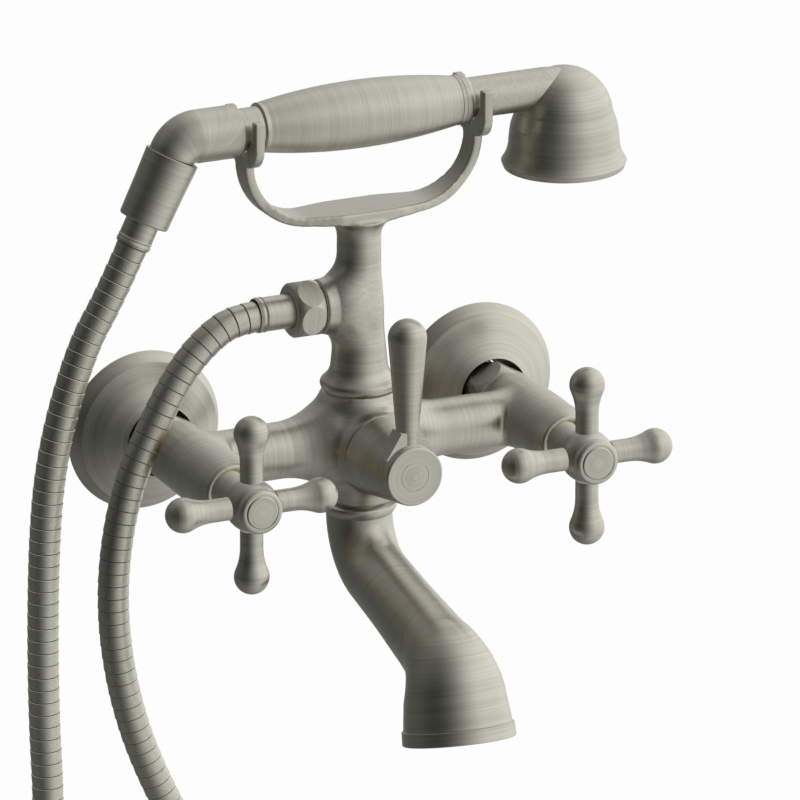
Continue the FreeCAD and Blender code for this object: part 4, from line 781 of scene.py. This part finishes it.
def finish_nickel(tree, shader, place, lathe):
    """Fine and coarse scratches in the colour, the gloss and the surface."""
    drift = vector_step(tree, "MULTIPLY", place, (AROUND, AROUND, AROUND))
    layers = []
    for scale, detail in ((FINE, 1.5), (COARSE, 2.5)):
        stretched = vector_step(tree, "MULTIPLY", lathe, (scale, scale, scale))
        where = vector_step(tree, "ADD", stretched, drift)
        layers.append(add_node(tree, "ShaderNodeTexNoise", None, Vector=where, Scale=1.0, Detail=detail,
                               Roughness=0.6).outputs[0])
    both = number_step(tree, "MULTIPLY_ADD", layers[0], 0.5, number_step(tree, "MULTIPLY", layers[1], 0.5))
    surface(tree, shader, (NICKEL_DARK, NICKEL_LIGHT), both, (0.38, 0.62), NICKEL_GLOSS)
    dents(tree, shader, both, 0.06)


def turned_nickel(name, axis, centre):
    """Brushed nickel for a piece that is round about one axis."""
    material, tree, shader = new_material(name, NICKEL_LIGHT, 0.3, 1.0)
    place = object_place(tree)
    finish_nickel(tree, shader, place, about_axis(tree, place, axis, centre))
    return material


about_left_valve = turned_nickel("nickel_brushed_about_left_valve", Y_AXIS, (-INLET, 0.0, 0.0))
about_right_valve = turned_nickel("nickel_brushed_about_right_valve", Y_AXIS, (INLET, 0.0, 0.0))
about_knob = turned_nickel("nickel_brushed_about_knob", Y_AXIS, (0.0, 0.0, 0.0))
along_grip = turned_nickel("nickel_brushed_along_grip", X_AXIS, (0.0, BAR_Y, GRIP_Z))
along_port = turned_nickel("nickel_brushed_along_port", X_AXIS, (0.0, BAR_Y, PORT_Z))
along_sleeve = turned_nickel("nickel_brushed_along_sleeve", SLEEVE_WAY, ELBOW_CORNER)
upright_head = turned_nickel("nickel_brushed_about_head", Z_AXIS, (HEAD_X, BAR_Y, 0.0))
print("turned finishes ready")

# %% [markdown]
# ### Pieces with more than one direction of brushing
# The body has barrels, a bar, a boss and a core, and each was brushed round its own axis. Masks on
# the place choose which axis holds.

# %% Nickel of the body
BOSS_FROM = -0.0645
BAR_FROM = 0.021
BARREL_FROM = 0.0615
BAND_FROM = 0.094


def body_nickel():
    """Brushed round each barrel, along the bar, and round the boss and the core."""
    material, tree, shader = new_material("nickel_brushed_body", NICKEL_LIGHT, 0.3, 1.0)
    place = object_place(tree)
    x, y, z = split(tree, place)
    side = number_step(tree, "ABSOLUTE", x)
    folded = add_node(tree, "ShaderNodeCombineXYZ", X=side, Y=y, Z=z).outputs[0]
    boss = about_axis(tree, place, Y_AXIS, (0.0, 0.0, 0.0))
    core = about_axis(tree, place, Z_AXIS, (0.0, BAR_Y, 0.0))
    bar = about_axis(tree, place, X_AXIS, (0.0, BAR_Y, 0.0))
    barrel = about_axis(tree, folded, Y_AXIS, (INLET, 0.0, 0.0))
    is_boss = number_step(tree, "LESS_THAN", y, BOSS_FROM)
    is_bar = number_step(tree, "GREATER_THAN", side, BAR_FROM)
    is_barrel = number_step(tree, "GREATER_THAN", side, BARREL_FROM)
    lathe = choose(tree, is_boss, core, boss)
    lathe = choose(tree, is_bar, lathe, bar)
    lathe = choose(tree, is_barrel, lathe, barrel)
    finish_nickel(tree, shader, place, lathe)
    return material


def riser_nickel():
    """Brushed round the column, and across the band of the cradle."""
    material, tree, shader = new_material("nickel_brushed_riser", NICKEL_LIGHT, 0.3, 1.0)
    place = object_place(tree)
    column = about_axis(tree, place, Z_AXIS, (0.0, BAR_Y, 0.0))
    band = along_line(tree, place, Y_AXIS)
    is_band = number_step(tree, "GREATER_THAN", split(tree, place)[2], BAND_FROM)
    finish_nickel(tree, shader, place, choose(tree, is_band, column, band))
    return material


# %% [markdown]
# ### Nickel of the other shaped pieces
# Handles, lever, spout and elbow have directions of their own, found in the same way.

# %% Nickel of the handles, the lever, the spout and the elbow
ARM_FROM = 0.0165
RUN_BETWEEN = (-0.052, -0.072)
TAIL_BETWEEN = (-0.116, -0.134)
ELBOW_BEND_CENTRE = (-0.0730, 0.0, 0.1276)
ELBOW_BEND_RADIUS = 0.0116


def arms_nickel(name, x):
    """Brushed round each of the four arms, so the scratches lie across whichever arm they are on."""
    material, tree, shader = new_material(name, NICKEL_LIGHT, 0.3, 1.0)
    place = object_place(tree)
    local = vector_step(tree, "SUBTRACT", place, (x, 0.0, 0.0))
    sideways, _, upwards = split(tree, local)
    reach = number_step(tree, "MAXIMUM", number_step(tree, "ABSOLUTE", sideways),
                        number_step(tree, "ABSOLUTE", upwards))
    finish_nickel(tree, shader, place, pair(tree, reach, 0.0))
    return material


def lever_nickel():
    """Brushed round the knob, and across the upright arm above it."""
    material, tree, shader = new_material("nickel_brushed_lever", NICKEL_LIGHT, 0.3, 1.0)
    place = object_place(tree)
    knob = about_axis(tree, place, Y_AXIS, (0.0, 0.0, 0.0))
    is_arm = number_step(tree, "GREATER_THAN", split(tree, place)[2], ARM_FROM)
    finish_nickel(tree, shader, place, choose(tree, is_arm, knob, along_line(tree, place, Z_AXIS)))
    return material


def leaning(degrees):
    """The way down along a line that leans forward from straight down."""
    return (0.0, -math.sin(math.radians(degrees)), -math.cos(math.radians(degrees)))


def spout_nickel():
    """Brushed square to the spout's line, which turns twice."""
    material, tree, shader = new_material("nickel_brushed_spout", NICKEL_LIGHT, 0.3, 1.0)
    place = object_place(tree)
    depth = split(tree, place)[1]
    neck = along_line(tree, place, Z_AXIS)
    run = along_line(tree, place, leaning(UPPER_TURN))
    tail = along_line(tree, place, leaning(MOUTH_LEAN))
    upper = choose(tree, rescaled(tree, depth, *RUN_BETWEEN), neck, run)
    finish_nickel(tree, shader, place, choose(tree, rescaled(tree, depth, *TAIL_BETWEEN), upper, tail))
    return material


def elbow_nickel():
    """Rings that turn with the bend, about the point the elbow bends round."""
    material, tree, shader = new_material("nickel_brushed_elbow", NICKEL_LIGHT, 0.3, 1.0)
    place = object_place(tree)
    x, _, z = split(tree, vector_step(tree, "SUBTRACT", place, ELBOW_BEND_CENTRE))
    way = number_step(tree, "MULTIPLY", number_step(tree, "ARCTAN2", z, x), ELBOW_BEND_RADIUS)
    finish_nickel(tree, shader, place, pair(tree, way, 0.0))
    return material


body_finish = body_nickel()
riser_finish = riser_nickel()
left_arms_finish = arms_nickel("nickel_brushed_left_arms", -INLET)
right_arms_finish = arms_nickel("nickel_brushed_right_arms", INLET)
lever_finish = lever_nickel()
spout_finish = spout_nickel()
elbow_finish = elbow_nickel()
print("nickel finishes ready")

# %% [markdown]
# ## Hose metal
# The wound strip has the same nickel. The turn attribute darkens the last part of each turn with a painted
# shade, standing in for the shadow in the narrow grooves.

# %% Hose metal
GROOVE_FROM = 0.93
GROOVE_PAINTED_SHADE = "#4a4a42"
HOSE_GLOSS = (0.34, 0.41)


def hose_nickel():
    """Nickel strip with fine scratches, and a painted shade in the grooves."""
    material, tree, shader = new_material("nickel_hose_strip", NICKEL_LIGHT, 0.3, 1.0)
    place = object_place(tree)
    fine = add_node(tree, "ShaderNodeTexNoise", None, Vector=place, Scale=1500.0, Detail=2.0).outputs[0]
    strip = surface(tree, shader, (NICKEL_DARK, NICKEL_LIGHT), fine, (0.35, 0.65), HOSE_GLOSS)
    turn = add_node(tree, "ShaderNodeAttribute", {"attribute_name": "turn"}).outputs["Fac"]
    # Painted shade: the last part of each turn is mixed towards a dark grey, as the shadow in the groove.
    groove = number_step(tree, "GREATER_THAN", number_step(tree, "FRACT", turn), GROOVE_FROM)
    tree.links.new(mix_colours(tree, groove, strip, linear(GROOVE_PAINTED_SHADE)), shader.inputs["Base Color"])
    return material


hose_finish = hose_nickel()

# %% [markdown]
# ## Inner pieces
# Raw brass, stainless steel, black rubber, ceramic and moulded plastic each get a soft change of
# colour and a fine surface, with the gloss that such a surface has.

# %% Inner pieces
def speckled(name, first, second, roughness, metallic, scale, bump=0.05):
    """A material whose colour, gloss and surface change softly over a noise of the given scale."""
    material, tree, shader = new_material(name, first, roughness, metallic)
    place = object_place(tree)
    noise = add_node(tree, "ShaderNodeTexNoise", None, Vector=place, Scale=scale, Detail=4.0).outputs[0]
    surface(tree, shader, (first, second), noise, (0.35, 0.65), (roughness - 0.04, roughness + 0.06))
    dents(tree, shader, noise, bump)
    return material


by_slot = {
    "raw_brass": speckled("brass_turned_raw", "#b99a56", "#a98a48", 0.32, 1.0, 900.0),
    "steel": speckled("stainless_steel_turned", "#b4b4b2", "#a4a4a2", 0.28, 1.0, 1200.0),
    "seal": speckled("rubber_moulded_black", "#1c1c1b", "#262625", 0.62, 0.0, 700.0, 0.15),
    "ceramic": speckled("alumina_ground_white", "#eceae4", "#e2e0d9", 0.22, 0.0, 300.0),
    "white_plastic": speckled("acetal_moulded_white", "#e2e1dc", "#d6d5cf", 0.42, 0.0, 500.0),
    "spray_plate": speckled("abs_moulded_grey", "#a5a49b", "#98978e", 0.38, 0.0, 600.0),
    "hose_metal": hose_finish,
}

# %% [markdown]
# ## Which piece gets which finish
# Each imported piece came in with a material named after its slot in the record. Nickel pieces take
# the brushing that fits them, and all others the finish of their slot. The new pieces follow.

# %% Hand out the finishes
NICKEL_PIECES = {
    "diverter_lever": lever_finish, "diverter_badge": about_knob,
    "left_handle_arms": left_arms_finish, "right_handle_arms": right_arms_finish,
    "grip": along_grip, "handset_stem": along_grip, "grip_ring": along_grip, "grip_collar": along_grip,
    "handset_elbow": elbow_finish, "handset_ferrule": along_sleeve, "hose_ferrule": along_port,
    "shower_head": upright_head,
}

for name, piece in cad.items():
    slot = piece.data.materials[0].name.split(".")[0]
    finish = by_slot.get(slot)
    if finish is None:
        side_finish = about_left_valve if name.startswith("left_") else about_right_valve
        finish = NICKEL_PIECES.get(name, side_finish)
    piece.data.materials.clear()
    piece.data.materials.append(finish)
for piece, finish in (
    (first_run, hose_finish), (second_run, hose_finish), (riser, riser_finish), (spout_skin, spout_finish),
    (aerator, by_slot["white_plastic"]), (screen, by_slot["steel"]), (nut, along_port),
    (covers["left"], about_left_valve), (covers["right"], about_right_valve), (body, body_finish),
    (union_nuts["left"], about_left_valve), (union_nuts["right"], about_right_valve),
    (spray_plate, by_slot["spray_plate"]), (nozzle, by_slot["seal"]), (sleeve, along_sleeve),
):
    piece.data.materials.clear()
    piece.data.materials.append(finish)
print("finishes handed out")

# %% [markdown]
# ### Reflections
# Brushing spreads a reflection far along the metal, so the pieces that stand in front don't show
# in the surfaces behind them. They are left out of glossy rays to keep that look.

# %% Pieces kept out of reflections
IN_FRONT = ("arms", "hub", "cap", "lever", "badge", "grip")
for name, piece in cad.items():
    if any(word in name for word in IN_FRONT):
        piece.visible_glossy = False
for piece in (first_run, second_run, body):
    piece.visible_glossy = False

# %% [markdown]
# ## Studio
# Metal shows what stands around it. The world that reflections see is a dim room with six soft
# lights, and everything else sees plain white. Each light falls off with the angle from its middle.

# %% World
STUDIO_LIGHTS = [
    ((0.894, 0.425, 0.138), 2.46, 0.513),
    ((0.481, -0.679, 0.554), 3.97, 0.380),
    ((0.421, -0.624, -0.658), 3.22, 0.284),
    ((0.313, 0.328, 0.891), 7.13, 0.184),
    ((-0.623, 0.465, 0.629), 6.62, 0.070),
    ((-0.720, 0.291, -0.629), 4.92, 0.063),
]
STUDIO_BASE = -0.008
STUDIO_LEAST = 0.002
STUDIO_GAIN = 2.3
AMBIENT = 0.75

world = bpy.data.worlds.new("studio")
bpy.context.scene.world = world
world.use_nodes = True
tree = world.node_tree
tree.nodes.clear()
direction = add_node(tree, "ShaderNodeTexCoord").outputs["Generated"]
total = STUDIO_BASE
for towards, narrowness, brightness in STUDIO_LIGHTS:
    facing = vector_step(tree, "DOT_PRODUCT", direction, tuple(Vector(towards).normalized()))
    falloff = number_step(tree, "MULTIPLY_ADD", facing, narrowness, -narrowness)
    total = number_step(tree, "MULTIPLY_ADD", number_step(tree, "EXPONENT", falloff), brightness, total)
total = number_step(tree, "MAXIMUM", total, STUDIO_LEAST)
studio = add_node(tree, "ShaderNodeBackground", None, Color=(1, 1, 1, 1),
                  Strength=number_step(tree, "MULTIPLY", total, STUDIO_GAIN))
ambient = add_node(tree, "ShaderNodeBackground", None, Color=(1, 1, 1, 1), Strength=AMBIENT)
backdrop = add_node(tree, "ShaderNodeBackground", None, Color=(1, 1, 1, 1), Strength=1.0)
rays = add_node(tree, "ShaderNodeLightPath")
unseen = add_node(tree, "ShaderNodeMixShader", None, Fac=rays.outputs["Is Glossy Ray"],
                  _1=ambient.outputs[0], _2=studio.outputs[0])
mixed = add_node(tree, "ShaderNodeMixShader", None, Fac=rays.outputs["Is Camera Ray"],
                 _1=unseen.outputs[0], _2=backdrop.outputs[0])
add_node(tree, "ShaderNodeOutputWorld", None, Surface=mixed.outputs[0])

# %% [markdown]
# ### Floor and lamp
# The floor lies below the loop of the hose. It glows a little for the camera, so that it looks
# white, and a wide sun lays a soft shade on it.

# %% Floor and soft lamp
FLOOR_Z = -0.475
FLOOR_SIZE = 16
FLOOR_GLOW = 0.8
LAMP_POWER = 0.8
LAMP_SPREAD = 30

bpy.ops.object.select_all(action="DESELECT")
bpy.ops.mesh.primitive_plane_add(size=FLOOR_SIZE, location=(0, 0, FLOOR_Z))
floor = bpy.context.object
floor.name = "floor"
floor.visible_glossy = False
material, tree, shader = new_material("floor_painted_white", "#ffffff", 0.9)
glow = add_node(tree, "ShaderNodeEmission", None, Color=(1, 1, 1, 1), Strength=1.0)
rays = add_node(tree, "ShaderNodeLightPath")
seen = number_step(tree, "MULTIPLY", rays.outputs["Is Camera Ray"], FLOOR_GLOW)
mixed = add_node(tree, "ShaderNodeMixShader", None, Fac=seen, _1=shader.outputs[0], _2=glow.outputs[0])
tree.links.new(mixed.outputs[0], tree.nodes["Material Output"].inputs["Surface"])
floor.data.materials.append(material)

lamp_data = bpy.data.lights.new("soft_lamp", "SUN")
lamp_data.energy = LAMP_POWER
lamp_data.angle = math.radians(LAMP_SPREAD)
lamp = bpy.data.objects.new("soft_lamp", lamp_data)
lamp.rotation_euler = (math.radians(38), math.radians(-14), 0)
lamp.visible_glossy = False
bpy.context.scene.collection.objects.link(lamp)
bpy.context.scene.view_settings.view_transform = "Standard"
